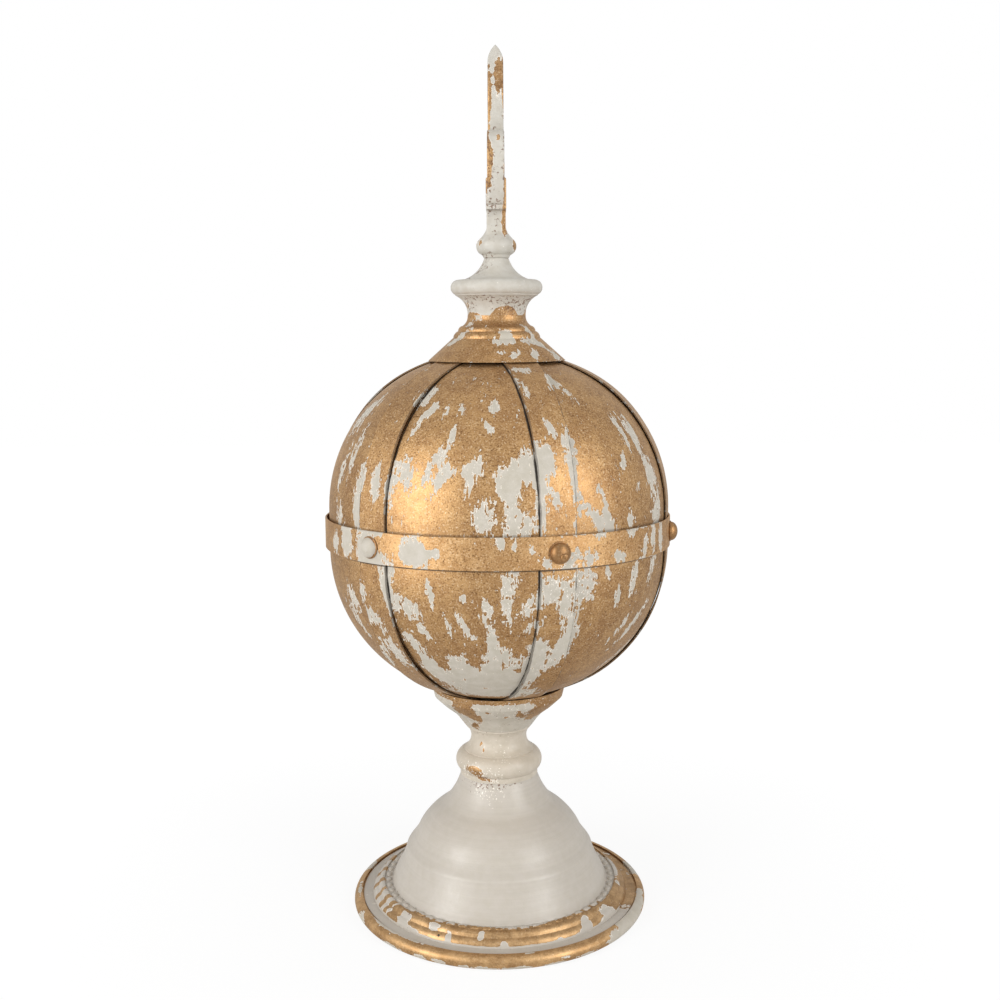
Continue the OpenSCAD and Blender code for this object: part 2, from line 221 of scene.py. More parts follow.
stack = {
    "sheetT": 1.2, "baseD": 252.4, "rollD": 11.6, "footFlat": 3.8, "shelfR": 104.0, "shelfZ": 8.8, "lipW": 0.8,
    "flangeGap": 1.5, "ballR": 140.5, "ballRound": 126.0, "ballBand": 31.8, "strapSeat": 0.1, "strapT": 1.2,
    "strapW": 28.0, "strapTurn": 18.3, "strapEnd": 44.0, "beltH": 24.4, "beltT": 1.3, "beltDrop": 2.5, "fit": 0.15,
    "collarR": 56.4, "coneH": 18.0, "coneTopR": 36.2, "crownLean": 2.5,
}
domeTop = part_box("base_dome")[1].z * 1000
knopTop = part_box("lower_knop")[1].z * 1000
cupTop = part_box("lower_cup")[1].z * 1000
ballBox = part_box("ball")
ballMid = (ballBox[0].z + ballBox[1].z) * 500
lowZ, highZ = ballMid - stack["ballBand"] / 2, ballMid + stack["ballBand"] / 2
ballIn = stack["ballR"] - stack["ballRound"]
strapR = stack["ballRound"] + stack["strapSeat"] + stack["strapT"]
beltZ = ballMid - stack["beltDrop"]
beltR = math.hypot(ballIn + strapR, stack["strapW"] / 2) + stack["fit"]
collarIn = stack["collarR"] - stack["sheetT"] * math.hypot(stack["coneH"],
                                                           stack["collarR"] - stack["coneTopR"]) / stack["coneH"]
strapAt = math.sqrt((collarIn - stack["fit"]) ** 2 - stack["strapW"] ** 2 / 4)
collarRise = math.sqrt(strapR ** 2 - (strapAt - ballIn) ** 2)
collarZ = highZ + collarRise
leanZ = highZ - ballIn * collarRise / (strapAt - ballIn)
lean = (Matrix.Translation((0, 0, leanZ / 1000)) @ Matrix.Rotation(math.radians(stack["crownLean"]), 4, "X")
        @ Matrix.Translation((0, 0, -leanZ / 1000)))


# finishes

def wornLeaf(name, changes):
    # Gold leaf over chalk paint on spun sheet: soft brassy sheen with a mealy grain, rubbed through in ragged
    # chips that run the way the sheet was wiped; the paint under it is matt and greyish beige.
    # the near-black colour below paints the shade in the gaps along the straps and the belt
    look = {"leafBright": "#bf9868", "leafDeep": "#a57e54", "leafDark": "#64452b", "leafGrainGlint": "#f6e6c8",
            "paint": "#c3bcb0", "paintShade": "#b8b1a2", "rim": "#ece5d9", "speck": "#6b4a32", "fleck": "#f1ebe1",
            "gapShade": "#1d140e", "across": 34.0, "along": 46.0, "streak": 1.3, "blotch": 0.7, "ragged": 1.7,
            "wiped": 1.7, "soft": 0.03, "rimWidth": 0.1, "rimAmount": 0.75, "leafEdgeShade": 0.07, "grain": 1.0,
            "metal": 0.88, "leafRough": 0.47, "paintRough": 0.5, "strapGapShade": 0.0, "strapGapShadeAt": 14.3, "beltShadeLines": 0.0,
            "brush": 0.0, "holeShade": None}
    look.update(changes)
    mat = bpy.data.materials.new(name)
    mat.use_nodes = True
    tree = mat.node_tree
    tree.nodes.clear()
    mathKind, stepKind, mixKind = "ShaderNodeMath", "ShaderNodeMapRange", "ShaderNodeMix"
    eased = {"interpolation_type": "SMOOTHSTEP"}
    colours = {"data_type": "RGBA"}  # inputs 6 and 7 are the two colours, output 2 the result

    place = addNode(tree, "ShaderNodeTexCoord").outputs["Object"]
    parts = addNode(tree, "ShaderNodeSeparateXYZ", {0: place})
    flat = addNode(tree, "ShaderNodeCombineXYZ", {"X": parts.outputs["X"], "Y": parts.outputs["Y"]})
    way = addNode(tree, "ShaderNodeVectorMath", {0: flat}, operation="NORMALIZE")
    aroundIt = addNode(tree, "ShaderNodeVectorMath", {0: way, 1: (look["across"],) * 3}, operation="MULTIPLY")
    upIt = addNode(tree, mathKind, {0: parts.outputs["Z"], 1: look["along"]}, operation="MULTIPLY")
    upVec = addNode(tree, "ShaderNodeCombineXYZ", {"Z": upIt})
    streakAt = addNode(tree, "ShaderNodeVectorMath", {0: aroundIt, 1: upVec}, operation="ADD").outputs[0]

    pattern = {}
    for title, at, scale, detail, rough in (
            ("streak", streakAt, 1.0, 4.0, 0.62), ("wiped", streakAt, 2.7, 3.0, 0.6),
            ("blotch", place, 42.0, 3.0, 0.55),    # about 24 mm across
            ("mottle", place, 150.0, 3.0, 0.6),    # about 7 mm
            ("ragged", place, 260.0, 2.0, 0.55),   # about 4 mm
            ("dirtAndShade", place, 430.0, 3.0, 0.65), ("fleck", place, 560.0, 2.0, 0.6),  # about 2 mm
            ("grain", place, 820.0, 1.0, 0.6)):    # about 1.2 mm, coarser than real leaf so that it shows
        pattern[title] = addNode(tree, "ShaderNodeTexNoise", {"Vector": at, "Scale": scale, "Detail": detail,
                                                              "Roughness": rough})

    worn = addNode(tree, "ShaderNodeSeparateColor", {0: addNode(tree, "ShaderNodeAttribute", attribute_name="wear")})
    field = worn.outputs[0]
    for title in ("streak", "blotch", "ragged", "wiped"):  # each pattern moves the edge of the leaf by its own share
        swing = addNode(tree, mathKind, {0: pattern[title], 1: 0.5}, operation="SUBTRACT")
        share = addNode(tree, mathKind, {0: swing, 1: look[title]}, operation="MULTIPLY")
        field = addNode(tree, mathKind, {0: field, 1: share}, operation="ADD")
    leafMask = addNode(tree, stepKind, {"Value": field, "From Min": -look["soft"], "From Max": look["soft"]}, **eased)
    edges = {}  # a pale rim on the paint's side of a chip; on the leaf's side, where it lifts, a thin line of painted shade
    for title, shift, width in (("rim", look["rimWidth"] * 0.8, look["rimWidth"]),
                                ("leafEdgeShade", -look["leafEdgeShade"], look["leafEdgeShade"])):
        moved = addNode(tree, mathKind, {0: field, 1: shift}, operation="ADD")
        apart = addNode(tree, mathKind, {0: moved}, operation="ABSOLUTE")
        edges[title] = addNode(tree, stepKind, {"Value": apart, "From Min": width, "From Max": 0.0}, **eased)

    swing = addNode(tree, mathKind, {0: pattern["blotch"], 1: 0.5}, operation="SUBTRACT")
    share = addNode(tree, mathKind, {0: swing, 1: 0.8}, operation="MULTIPLY")
    cloud = addNode(tree, mathKind, {0: pattern["mottle"], 1: share}, operation="ADD")
    warm = addNode(tree, stepKind, {"Value": cloud, "From Min": 0.2, "From Max": 0.8}, **eased)
    leafTone = addNode(tree, mixKind, {"Factor": warm, 6: tint(look["leafDeep"]), 7: tint(look["leafBright"])},
                       **colours)
    # dark flecks of grain, and pale flecks that are partly the leaf's own grain and partly painted glints of the
    # lamps
    for low, high, amount, colour in ((0.48, 0.22, 0.8, "leafDark"), (0.54, 0.78, 0.42, "leafGrainGlint")):
        part = addNode(tree, stepKind, {"Value": pattern["grain"], "From Min": low, "From Max": high}, **eased)
        part = addNode(tree, mathKind, {0: part, 1: amount * look["grain"]}, operation="MULTIPLY")
        leafTone = addNode(tree, mixKind, {"Factor": part, 6: leafTone.outputs[2], 7: tint(look[colour])}, **colours)
    shade = addNode(tree, stepKind, {"Value": pattern["mottle"], "From Min": 0.25, "From Max": 0.75}, **eased)
    paintTone = addNode(tree, mixKind, {"Factor": shade, 6: tint(look["paintShade"]), 7: tint(look["paint"])},
                        **colours)
    if look["brush"]:  # level strokes left by the brush
        strokeAt = addNode(tree, "ShaderNodeVectorMath", {0: place, 1: (9.0, 9.0, 640.0)}, operation="MULTIPLY")
        strokes = addNode(tree, "ShaderNodeTexNoise", {"Vector": strokeAt, "Scale": 1.0, "Detail": 3.0,
                                                       "Roughness": 0.55})
        part = addNode(tree, stepKind, {"Value": strokes, "From Min": 0.35, "From Max": 0.7}, **eased)
        part = addNode(tree, mathKind, {0: part, 1: look["brush"]}, operation="MULTIPLY")
        paintTone = addNode(tree, mixKind, {"Factor": part, 6: paintTone.outputs[2], 7: tint(look["rim"])}, **colours)
    masks = {}
    for title, amount, share, low, high in (("fleck", worn.outputs[1], 0.14, 0.74, 0.79),
                                            ("dirtAndShade", worn.outputs[2], 0.18, 0.70, 0.78)):
        more = addNode(tree, mathKind, {0: amount, 1: share}, operation="MULTIPLY")
        raised = addNode(tree, mathKind, {0: pattern[title], 1: more}, operation="ADD")
        shown = addNode(tree, stepKind, {"Value": raised, "From Min": low, "From Max": high}, **eased)
        where = addNode(tree, stepKind, {"Value": amount, "From Min": 0.02, "From Max": 0.12}, **eased)
        masks[title] = addNode(tree, mathKind, {0: shown, 1: where}, operation="MULTIPLY")
    part = addNode(tree, mathKind, {0: edges["rim"], 1: look["rimAmount"]}, operation="MULTIPLY")
    paintTone = addNode(tree, mixKind, {"Factor": part, 6: paintTone.outputs[2], 7: tint(look["rim"])}, **colours)
    # painted shade: a thin dark line on the leaf just along a chip's edge
    part = addNode(tree, mathKind, {0: edges["leafEdgeShade"], 1: 0.4}, operation="MULTIPLY")
    leafTone = addNode(tree, mixKind, {"Factor": part, 6: leafTone.outputs[2], 7: tint(look["leafDark"])}, **colours)
    tone = addNode(tree, mixKind, {"Factor": leafMask, 6: paintTone.outputs[2], 7: leafTone.outputs[2]}, **colours)
    # dark specks: soiling, and on the fleur also painted shade
    part = addNode(tree, mathKind, {0: masks["dirtAndShade"], 1: 0.85}, operation="MULTIPLY")
    tone = addNode(tree, mixKind, {"Factor": part, 6: tone.outputs[2], 7: tint(look["speck"])}, **colours)
    tone = addNode(tree, mixKind, {"Factor": masks["fleck"], 6: tone.outputs[2], 7: tint(look["fleck"])}, **colours)
    covered = addNode(tree, mathKind, {0: masks["dirtAndShade"], 1: masks["fleck"]}, operation="MAXIMUM")
    bare = addNode(tree, mathKind, {0: 1.0, 1: covered}, operation="SUBTRACT")
    metal = addNode(tree, mathKind, {0: leafMask, 1: bare}, operation="MULTIPLY", use_clamp=True)

    lines = []
    if look["strapGapShade"]:  # painted shade: the dark line along each strap's edges, where the gap under the strap lies in shade
        nearest = None
        for index in range(3):
            turn = math.radians(stack["strapTurn"] + 60 * index)
            across = addNode(tree, "ShaderNodeVectorMath", {0: place, 1: (math.cos(turn), math.sin(turn), 0.0)},
                             operation="DOT_PRODUCT").outputs["Value"]
            across = addNode(tree, mathKind, {0: across}, operation="ABSOLUTE")
            off = addNode(tree, mathKind, {0: across, 1: look["strapGapShadeAt"] / 1000}, operation="SUBTRACT")
            off = addNode(tree, mathKind, {0: off}, operation="ABSOLUTE")
            nearest = off if nearest is None else addNode(tree, mathKind, {0: nearest, 1: off}, operation="MINIMUM")
        uneven = addNode(tree, "ShaderNodeTexNoise", {"Vector": place, "Scale": 60.0, "Detail": 2.0,
                                                      "Roughness": 0.55})
        width = addNode(tree, stepKind, {"Value": uneven, "From Min": 0.35, "From Max": 0.65, "To Min": 0.0003,
                                         "To Max": 0.0013},
                        **eased)
        share = addNode(tree, mathKind, {0: nearest, 1: width}, operation="DIVIDE")
        line = addNode(tree, stepKind, {"Value": share, "From Min": 1.0, "From Max": 0.45}, **eased)
        lines.append(addNode(tree, mathKind, {0: line, 1: look["strapGapShade"]}, operation="MULTIPLY"))
    if look["beltShadeLines"]:  # painted shade along the belt's edges too, stronger under it
        for edge, share in ((beltZ - stack["beltH"] / 2 - 0.5, 1.0), (beltZ + stack["beltH"] / 2 + 0.4, 0.35)):
            off = addNode(tree, mathKind, {0: parts.outputs["Z"], 1: edge / 1000}, operation="SUBTRACT")
            off = addNode(tree, mathKind, {0: off}, operation="ABSOLUTE")
            line = addNode(tree, stepKind, {"Value": off, "From Min": 0.0012, "From Max": 0.0005}, **eased)
            lines.append(addNode(tree, mathKind, {0: line, 1: look["beltShadeLines"] * share}, operation="MULTIPLY"))
    # painted shade: a dark spot in colour where the flange has a small pierced opening
    if look["holeShade"]:
        away = addNode(tree, "ShaderNodeVectorMath", {0: place, 1: tuple(v / 1000 for v in look["holeShade"])},
                       operation="DISTANCE").outputs["Value"]
        lines.append(addNode(tree, stepKind, {"Value": away, "From Min": 0.0012, "From Max": 0.0008}, **eased))
    # the painted shade lines darken the colour and take away the metal's shine
    if lines:
        dark = lines[0]
        for line in lines[1:]:
            dark = addNode(tree, mathKind, {0: dark, 1: line}, operation="MAXIMUM")
        tone = addNode(tree, mixKind, {"Factor": dark, 6: tone.outputs[2], 7: tint(look["gapShade"])}, **colours)
        clear = addNode(tree, mathKind, {0: 1.0, 1: dark}, operation="SUBTRACT")
        metal = addNode(tree, mathKind, {0: metal, 1: clear}, operation="MULTIPLY")

    height = addNode(tree, mathKind, {0: leafMask, 1: 0.5}, operation="MULTIPLY")
    for title, share in (("grain", 1.1 * look["grain"]), ("mottle", 0.8)):
        part = addNode(tree, mathKind, {0: pattern[title], 1: share}, operation="MULTIPLY")
        height = addNode(tree, mathKind, {0: height, 1: part}, operation="ADD")
    relief = addNode(tree, "ShaderNodeBump", {"Height": height, "Strength": 0.5, "Distance": 0.00025})
    rough = addNode(tree, stepKind, {"Value": leafMask, "To Min": look["paintRough"], "To Max": look["leafRough"]},
                    **eased)
    part = addNode(tree, stepKind, {"Value": pattern["grain"], "From Min": 0.25, "From Max": 0.75, "To Min": -0.06,
                                    "To Max": 0.08},
                   **eased)
    rough = addNode(tree, mathKind, {0: rough, 1: part}, operation="ADD")
    metal = addNode(tree, mathKind, {0: metal, 1: look["metal"]}, operation="MULTIPLY")
    shader = addNode(tree, "ShaderNodeBsdfPrincipled", {"Base Color": tone.outputs[2], "Roughness": rough,
                                                        "Normal": relief,
                                                       "Metallic": metal})
    addNode(tree, "ShaderNodeOutputMaterial", {0: shader})
    return mat


print("finishes")
# ball and straps get painted shade lines along the strap and belt edges
gildedBall = wornLeaf("gildedBall", {"strapGapShade": 0.95, "beltShadeLines": 0.75, "across": 30.0, "along": 42.0})
gildedStraps = wornLeaf("gildedStraps", {"strapGapShade": 0.6, "strapGapShadeAt": 13.9, "beltShadeLines": 0.8, "across": 30.0,
                                         "along": 42.0})
# the belt's leaf is lighter than the ball's, partly its own tone and partly painted light for the sheen its front
# catches
gildedBelt = wornLeaf("gildedBelt", {"across": 26.0, "along": 90.0, "leafBright": "#cca473", "leafDeep": "#b48a5b"})
gildedRing = wornLeaf("gildedRing", {"across": 10.0, "along": 120.0, "streak": 0.8, "grain": 0.55, "ragged": 1.3,
                                     "leafBright": "#cda879", "leafDeep": "#a78359"})
gildedCup = wornLeaf("gildedCup", {"across": 12.0, "along": 80.0, "streak": 0.8})
gildedCollar = wornLeaf("gildedCollar", {"across": 9.0, "along": 70.0, "streak": 0.8})
paintedDome = wornLeaf("paintedDome", {"across": 14.0, "along": 60.0, "streak": 0.6, "blotch": 0.5, "wiped": 0.7,
                                       "brush": 0.07, "grain": 0.5, "ragged": 0.9,
                                       "leafBright": "#c7a478", "leafDeep": "#9f7e57", "paint": "#c1bab0",
                                       "paintShade": "#bcb5a9", "paintRough": 0.38,
                                       "holeShade": list(around(-26.5, 108.0, 14.2))})
paintedKnop = wornLeaf("paintedKnop", {"across": 10.0, "along": 80.0, "streak": 0.5, "blotch": 0.5, "wiped": 0.7,
                                       "paint": "#cbc1b2", "paintShade": "#c0b6a5", "paintRough": 0.42})
# the casting's leaf is lighter and less metallic, partly as painted light for the front faces that the lamps reach
# little
paintedCasting = wornLeaf("paintedCasting", {"across": 6.0, "along": 90.0, "streak": 0.5, "blotch": 0.5,
                                             "wiped": 0.7, "metal": 0.6, "leafBright": "#cfa673",
                                             "leafDeep": "#8f6a44", "paint": "#c8c4bb", "paintShade": "#bdb7ab"})
gildedRivets = wornLeaf("gildedRivets", {"across": 20.0, "along": 60.0, "leafBright": "#a98156",
                                         "leafDeep": "#8d6a46", "wiped": 0.6, "grain": 0.3})


# the base: rolled ring, ridged flange and dome

base = {"ridge": [(110.1, 10.0), (105.5, 16.1), (100.5, 20.5)], "swell": 1.1, "bandDrop": 1.1, "bandW": 7.0,
        "creaseH": 29.8, "creaseR": 80.2, "creaseStep": 1.0, "haunch": (20.4, 67.1), "shoulder": (10.0, 58.3),
        "throat": (10.0, 45.8), "neckH": 24.0, "neckR": 33.0}

rollR = stack["rollD"] / 2
rollZ = math.sqrt(rollR ** 2 - stack["footFlat"] ** 2 / 4)
rollX = stack["baseD"] / 2 - rollR
lipX = rollX - stack["lipW"]
top = math.degrees(math.acos(-stack["lipW"] / rollR))
foot = math.degrees(math.asin(-rollZ / rollR))
inner = math.degrees(math.asin((stack["shelfZ"] - stack["sheetT"] - rollZ) / rollR))
ringOutline = ([(stack["shelfR"], stack["shelfZ"] - stack["sheetT"]), (stack["shelfR"], stack["shelfZ"]),
                (lipX, stack["shelfZ"])]
               + arc((rollX, rollZ), rollR, top, foot, 34) + arc((rollX, rollZ), rollR, -180 - foot, -180 - inner,
                   10))
baseRing = spin("baseRing", ringOutline, closed=True, count=400, step=1.6)
co = coords(baseRing)
up = np.degrees(np.arctan2(co[:, 2] - rollZ, np.hypot(co[:, 0], co[:, 1]) - rollX)) * math.pi / 180 * rollR
up = np.where(co[:, 2] <= stack["shelfZ"] + 0.01, np.where(np.hypot(co[:, 0], co[:, 1]) < rollX - 1, 30.0, up), up)
ringMarks = [  # azimuth, way up round the roll (0 outermost, 9 on its crown), half length, half width, lean, amount
    (58, 3, 9, 15, 0, -1.5), (66, 5, 6, 16, 0, -1.3), (47, -1, 5, 7, 0, -1.2), (78, 7, 4, 13, 0, -1.2),
    (104, 6, 5, 13, 0, -1.1),
    (-6, -3.5, 2, 6, 0, -1.2), (8, -3.5, 1.8, 6, 0, -1.2), (2, -4, 1.4, 8, 0, -1.0), (-22, -2.5, 2, 6, 0, -1.1),
    (20, -4, 1.5, 9, 0, -1.0),
    (-13, -3, 1.5, 5, 0, -1.0), (-30, -2.5, 2, 6, 0, -1.0), (-44, -3, 2, 9, 0, -1.0), (33, -3, 1.6, 8, 0, -1.0),
    (-107, 6, 4, 9, 0, -1.1),
    (-50, 9, 1.2, 16, 0, -1.1), (-36, 9, 1.0, 9, 0, -1.0), (-66, 1, 4, 5, 0, -1.0), (24, 0, 1.6, 4, 0, -0.9),
    (11, 8.6, 0.8, 5, 0, -0.9),
    (150, 4, 7, 18, 0, -1.3), (-150, 3, 6, 14, 0, -1.2), (182, 5, 4, 10, 0, -1.1), (-85, 8, 1.5, 12, 0, -1.0)]
leaf = 0.6 + markField(co, ringMarks, way=up)
leaf = np.where(co[:, 2] < 1.2, leaf - 0.5, leaf)
wear(baseRing, leaf, 0.3 * (co[:, 2] < 3.0))
finish(baseRing, gildedRing, "gilt_sheet", "base_ring")

flangeR = lipX - stack["flangeGap"]
flangeZ = stack["shelfZ"] + stack["sheetT"]
r0, r1, r2 = base["ridge"]
bandZ = r2[1] - base["bandDrop"]
rootR = r2[0] - 0.4 - base["bandW"]
creaseZ = bandZ + base["creaseH"]
haunchZ = creaseZ + base["haunch"][0]
shoulderZ = haunchZ + base["shoulder"][0]
throatZ = shoulderZ + base["throat"][0]
cr, hr, tr, nr = base["creaseR"], base["haunch"][1], base["throat"][1], base["neckR"]
bell = smooth([(rootR - 0.6, bandZ + 1.2)] + [(cr + (rootR - cr) * k, bandZ + base["creaseH"] * h)
              for k, h in ((0.78, 0.24), (0.44, 0.5), (0.18, 0.76))] + [(cr, creaseZ)], 5)
upper = smooth([(cr - base["creaseStep"], creaseZ + 1.6), ((cr + hr) / 2 - 0.9, (creaseZ + haunchZ) / 2),
                (hr, haunchZ),
                (base["shoulder"][1], shoulderZ), (tr, throatZ), ((tr + nr) / 2 - 1.2,
                    throatZ + base["neckH"] * 0.45),
                (nr + 0.4, domeTop - 2.4)], 6)
domePath = ([np.array((flangeR, flangeZ))] + bow(r0, r1, -base["swell"], 8)
            + bow((r1[0] - 0.2, r1[1] + 0.2), r2, -base["swell"], 8)
            + [np.array((r2[0] - 0.4, bandZ)), np.array((rootR, bandZ))] + bell + upper
            + [np.array((nr, domeTop - 1.6)), np.array((nr, domeTop))])
baseDome = spin("baseDome", wall(domePath, stack["sheetT"]), closed=True, count=300, step=2.2, sharpAngle=30)
co = coords(baseDome)
rho = np.hypot(co[:, 0], co[:, 1])
azimuth = np.degrees(np.arctan2(co[:, 0], -co[:, 1]))
flangeMarks = [
    (57, 111, 5, 9, 30, -1.6), (50, 113, 3, 8, 0, -1.3), (41, 108, 4.6, 4.4, 20, -1.5), (38, 111, 2, 6, 0, -1.2),
    (-50, 106, 2.4, 11, -8, -1.5),
    (-44, 111, 2.6, 9, 0, -1.4), (-36, 112, 2.2, 10, 0, -1.2), (-22, 109, 3.6, 2.2, -15, -1.4),
    (-8, 105, 2.6, 2.1, 43, -1.4), (2, 110, 2.2, 2.6, 0, -1.3),
    (-30, 104, 2.5, 6, 0, -1.0), (-14, 112, 1.6, 4, 0, -1.1), (12, 112, 1.4, 6, 0, -1.0),
    (26, 110.5, 1.4, 3, 0, -1.0), (150, 106, 12, 22, 0, -1.4),
    (-160, 104, 9, 18, 0, -1.3), (96, 101, 3, 16, 0, -1.3), (118, 108, 5, 5, 0, -1.1), (80, 103, 2, 3, 0, -1.2)]
scratches = [(-66, 104, 15, 2.2, 12, 1.5), (-58, 100, 10, 1.8, 35, 1.3), (-74, 107, 10, 1.8, -10, 1.4),
             (-52, 104, 8, 3, 70, 1.6), (-54, 111, 2.4, 9, 0, 1.4),
             (-84, 106, 16, 2.4, 6, 1.4), (-95, 108, 13, 3, -8, 1.5), (-108, 106, 12, 4, 0, 1.6),
             (-118, 112, 6, 8, 0, 1.4)]
upper = rho > 99.6
leaf = np.where(upper, 0.62 + markField(co, flangeMarks, down=True), -0.9)
# the left has mostly kept its paint
beigeSide = np.clip((-50 - azimuth) / 8, 0, 1) * np.clip((azimuth + 132) / 12, 0, 1)
leaf = np.where(upper, leaf - 1.15 * beigeSide + 1.2 * markField(co, scratches, down=True) * (beigeSide > 0), leaf)
flatBand = (rho > r0[0] - 0.6) & (co[:, 2] < 12)
# the flat band at the edge has kept its paint
leaf = np.where(flatBand, np.where((azimuth > 66) & (azimuth < 140), 0.25, -0.45), leaf)
scallop = 2.2 * np.cos(np.radians(azimuth) * 60) + 1.4 * np.sin(np.radians(azimuth) * 7)
bandEdge = rho > 96.4 + scallop
leaf = np.where((rho > 92) & (rho <= 99.6) & (np.abs(azimuth - 4) < 54), np.where(bandEdge, 0.6, -0.6), leaf)
lowFlecks = markField(co, [(-14, 108, 9, 12, 0, 0.8), (-4, 102, 10, 9, 0, 0.4), (-28, 110, 5, 7, 0, 0.8)])
specks = markField(co, [(-30, 111, 5, 20, 0, 0.9), (-12, 112.5, 2.4, 10, 0, 0.8), (22, 113, 1.6, 14, 0, 0.8)])
wear(baseDome, leaf, np.where(rho < 70, lowFlecks, 0.12 * (rho > 93)),
     np.where(rho < 70, specks, 0.55 * ((rho > 93) & (rho < 104) & (np.abs(azimuth - 4) > 46)) + 0.15 * (rho > 104)))
finish(baseDome, paintedDome, "painted_sheet", "base_dome")

# the row of small beads pressed into the band round the dome
beads = {"count": 60, "ring": rootR + base["bandW"] / 2, "length": 7.6, "width": 5.4, "rise": 1.3}


def instanceRing(name, count, radius, height, makeItem, material):
    tree = bpy.data.node_groups.new(name, "GeometryNodeTree")
    for title, kind in (("Count", "NodeSocketInt"), ("Radius", "NodeSocketFloat"), ("Height", "NodeSocketFloat")):
        tree.interface.new_socket(title, in_out="INPUT", socket_type=kind)
    tree.interface.new_socket("Geometry", in_out="OUTPUT", socket_type="NodeSocketGeometry")
    given = addNode(tree, "NodeGroupInput")
    circle = addNode(tree, "GeometryNodeMeshCircle", {"Vertices": given.outputs["Count"],
                                                      "Radius": given.outputs["Radius"]})
    lift = addNode(tree, "ShaderNodeCombineXYZ", {"Z": given.outputs["Height"]})
    put = addNode(tree, "GeometryNodeTransform", {"Geometry": circle.outputs[0], "Translation": lift.outputs[0]})
    spot = addNode(tree, "GeometryNodeInputPosition")
    flatSpot = addNode(tree, "ShaderNodeVectorMath", {0: spot.outputs[0], 1: (1.0, 1.0, 0.0)}, operation="MULTIPLY")
    turn = addNode(tree, "FunctionNodeAlignRotationToVector", {"Vector": flatSpot.outputs[0]}, axis="X",
                   pivot_axis="Z")
    item = makeItem(tree)
    lay = addNode(tree, "GeometryNodeInstanceOnPoints", {"Points": put.outputs[0], "Instance": item,
                                                         "Rotation": turn.outputs[0]})
    real = addNode(tree, "GeometryNodeRealizeInstances", {0: lay.outputs[0]})
    coat = addNode(tree, "GeometryNodeSetMaterial", {"Geometry": real.outputs[0], "Material": material})
    tree.links.new(coat.outputs[0], addNode(tree, "NodeGroupOutput").inputs[0])
    holder = bpy.data.objects.new(name + "Maker", bpy.data.meshes.new(name + "Maker"))
    bpy.context.scene.collection.objects.link(holder)
    mod = holder.modifiers.new("maker", "NODES")
    mod.node_group = tree
    ids = {i.name: i.identifier for i in tree.interface.items_tree if i.in_out == "INPUT"}
    mod[ids["Count"]], mod[ids["Radius"]], mod[ids["Height"]] = count, radius / 1000, height / 1000
    mesh = bpy.data.meshes.new_from_object(holder.evaluated_get(bpy.context.evaluated_depsgraph_get()))
    bpy.data.objects.remove(holder)
    mesh.name = name
    mesh.polygons.foreach_set("use_smooth", [True] * len(mesh.polygons))
    obj = bpy.data.objects.new(name, mesh)
    bpy.context.scene.collection.objects.link(obj)
    return obj


def beadItem(tree):
    ball = addNode(tree, "GeometryNodeMeshUVSphere", {"Segments": 14, "Rings": 8, "Radius": 0.5})
    flat = addNode(tree, "GeometryNodeTransform", {"Geometry": ball.outputs[0],
                   "Scale": (beads["width"] / 1000, beads["length"] / 1000, 2 * beads["rise"] / 1000)})
    return flat.outputs[0]


beadRow = instanceRing("beadRow", beads["count"], beads["ring"], bandZ - 0.1, beadItem, paintedDome)
co = coords(beadRow)
azimuth = np.degrees(np.arctan2(co[:, 0], -co[:, 1]))
rho = np.hypot(co[:, 0], co[:, 1])
front = (np.abs(azimuth - 4) < 48) & (rho > beads["ring"] + 0.6 + 1.6 * np.sin(np.radians(azimuth) * 9))
wear(beadRow, np.where(front, 0.4, -0.7), 0.1, 0.5 * (co[:, 2] < bandZ + 0.5))
finish(beadRow, paintedDome, "painted_sheet")


# lower knop and cup

knop = {"foot": 33.3, "r": 37.0, "round": 9.6, "mid": 11.6, "waistR": 23.8, "hollow": 13.0, "waistZ": 32.5,
        "ringR": 28.0, "ringH": 2.4}
cx = knop["r"] - knop["round"]
low = -math.degrees(math.acos((knop["foot"] - cx) / knop["round"]))
hx, hz = knop["waistR"] + knop["hollow"], domeTop + knop["waistZ"]
step = knop["waistR"] + 6
up = math.degrees(math.acos((step - cx) / knop["round"]))
a0 = 180 + math.degrees(math.acos((hx - step) / knop["hollow"]))
a1 = 180 - math.degrees(math.asin((knopTop - knop["ringH"] - hz) / knop["hollow"]))
knopOutline = ([(0, domeTop), (knop["foot"], domeTop)] + arc((cx, domeTop + knop["mid"]), knop["round"], low, up, 30)
               + arc((hx, hz), knop["hollow"], a0, a1, 26)
               + [(knop["ringR"] - 0.5, knopTop - knop["ringH"]), (knop["ringR"], knopTop - knop["ringH"] + 0.6),
                  (knop["ringR"], knopTop - 0.6), (knop["ringR"] - 0.5, knopTop), (0, knopTop)])
lowerKnop = spin("lowerKnop", knopOutline, count=220, step=1.3)
co = coords(lowerKnop)
knopLeaf = markField(co, [(-37, 125, 3.6, 8, 0, 1.1), (-28, 121, 4, 5, 20, 1.0), (-16, 117, 2, 7, 0, 0.9),
                          (-37, 144, 3, 1.8, 12, 1.0), (-30, 140, 4, 1.4, 10, 0.8)])
knopFlecks = markField(co, [(-38, 122, 9, 16, 0, 0.9), (-14, 120, 6, 12, 0, 0.9), (10, 140, 10, 9, 0, 0.6),
                            (-26, 118, 5, 16, 0, 0.9), (-2, 132, 6, 8, 0, 0.45)])
knopDirt = markField(co, [(-30, 119, 3, 14, 0, 0.9), (8, 115, 1.6, 24, 0, 0.9), (20, 136, 2, 3, 0, 0.5),
                          (-45, 154, 2.4, 10, 0, 0.7), (30, 154, 2.4, 14, 0, 0.6), (0, 155, 1.6, 22, 0, 0.6)])
wear(lowerKnop, -0.75 + knopLeaf, knopFlecks + 0.12, knopDirt)
finish(lowerKnop, paintedKnop, "painted_casting", "lower_knop")

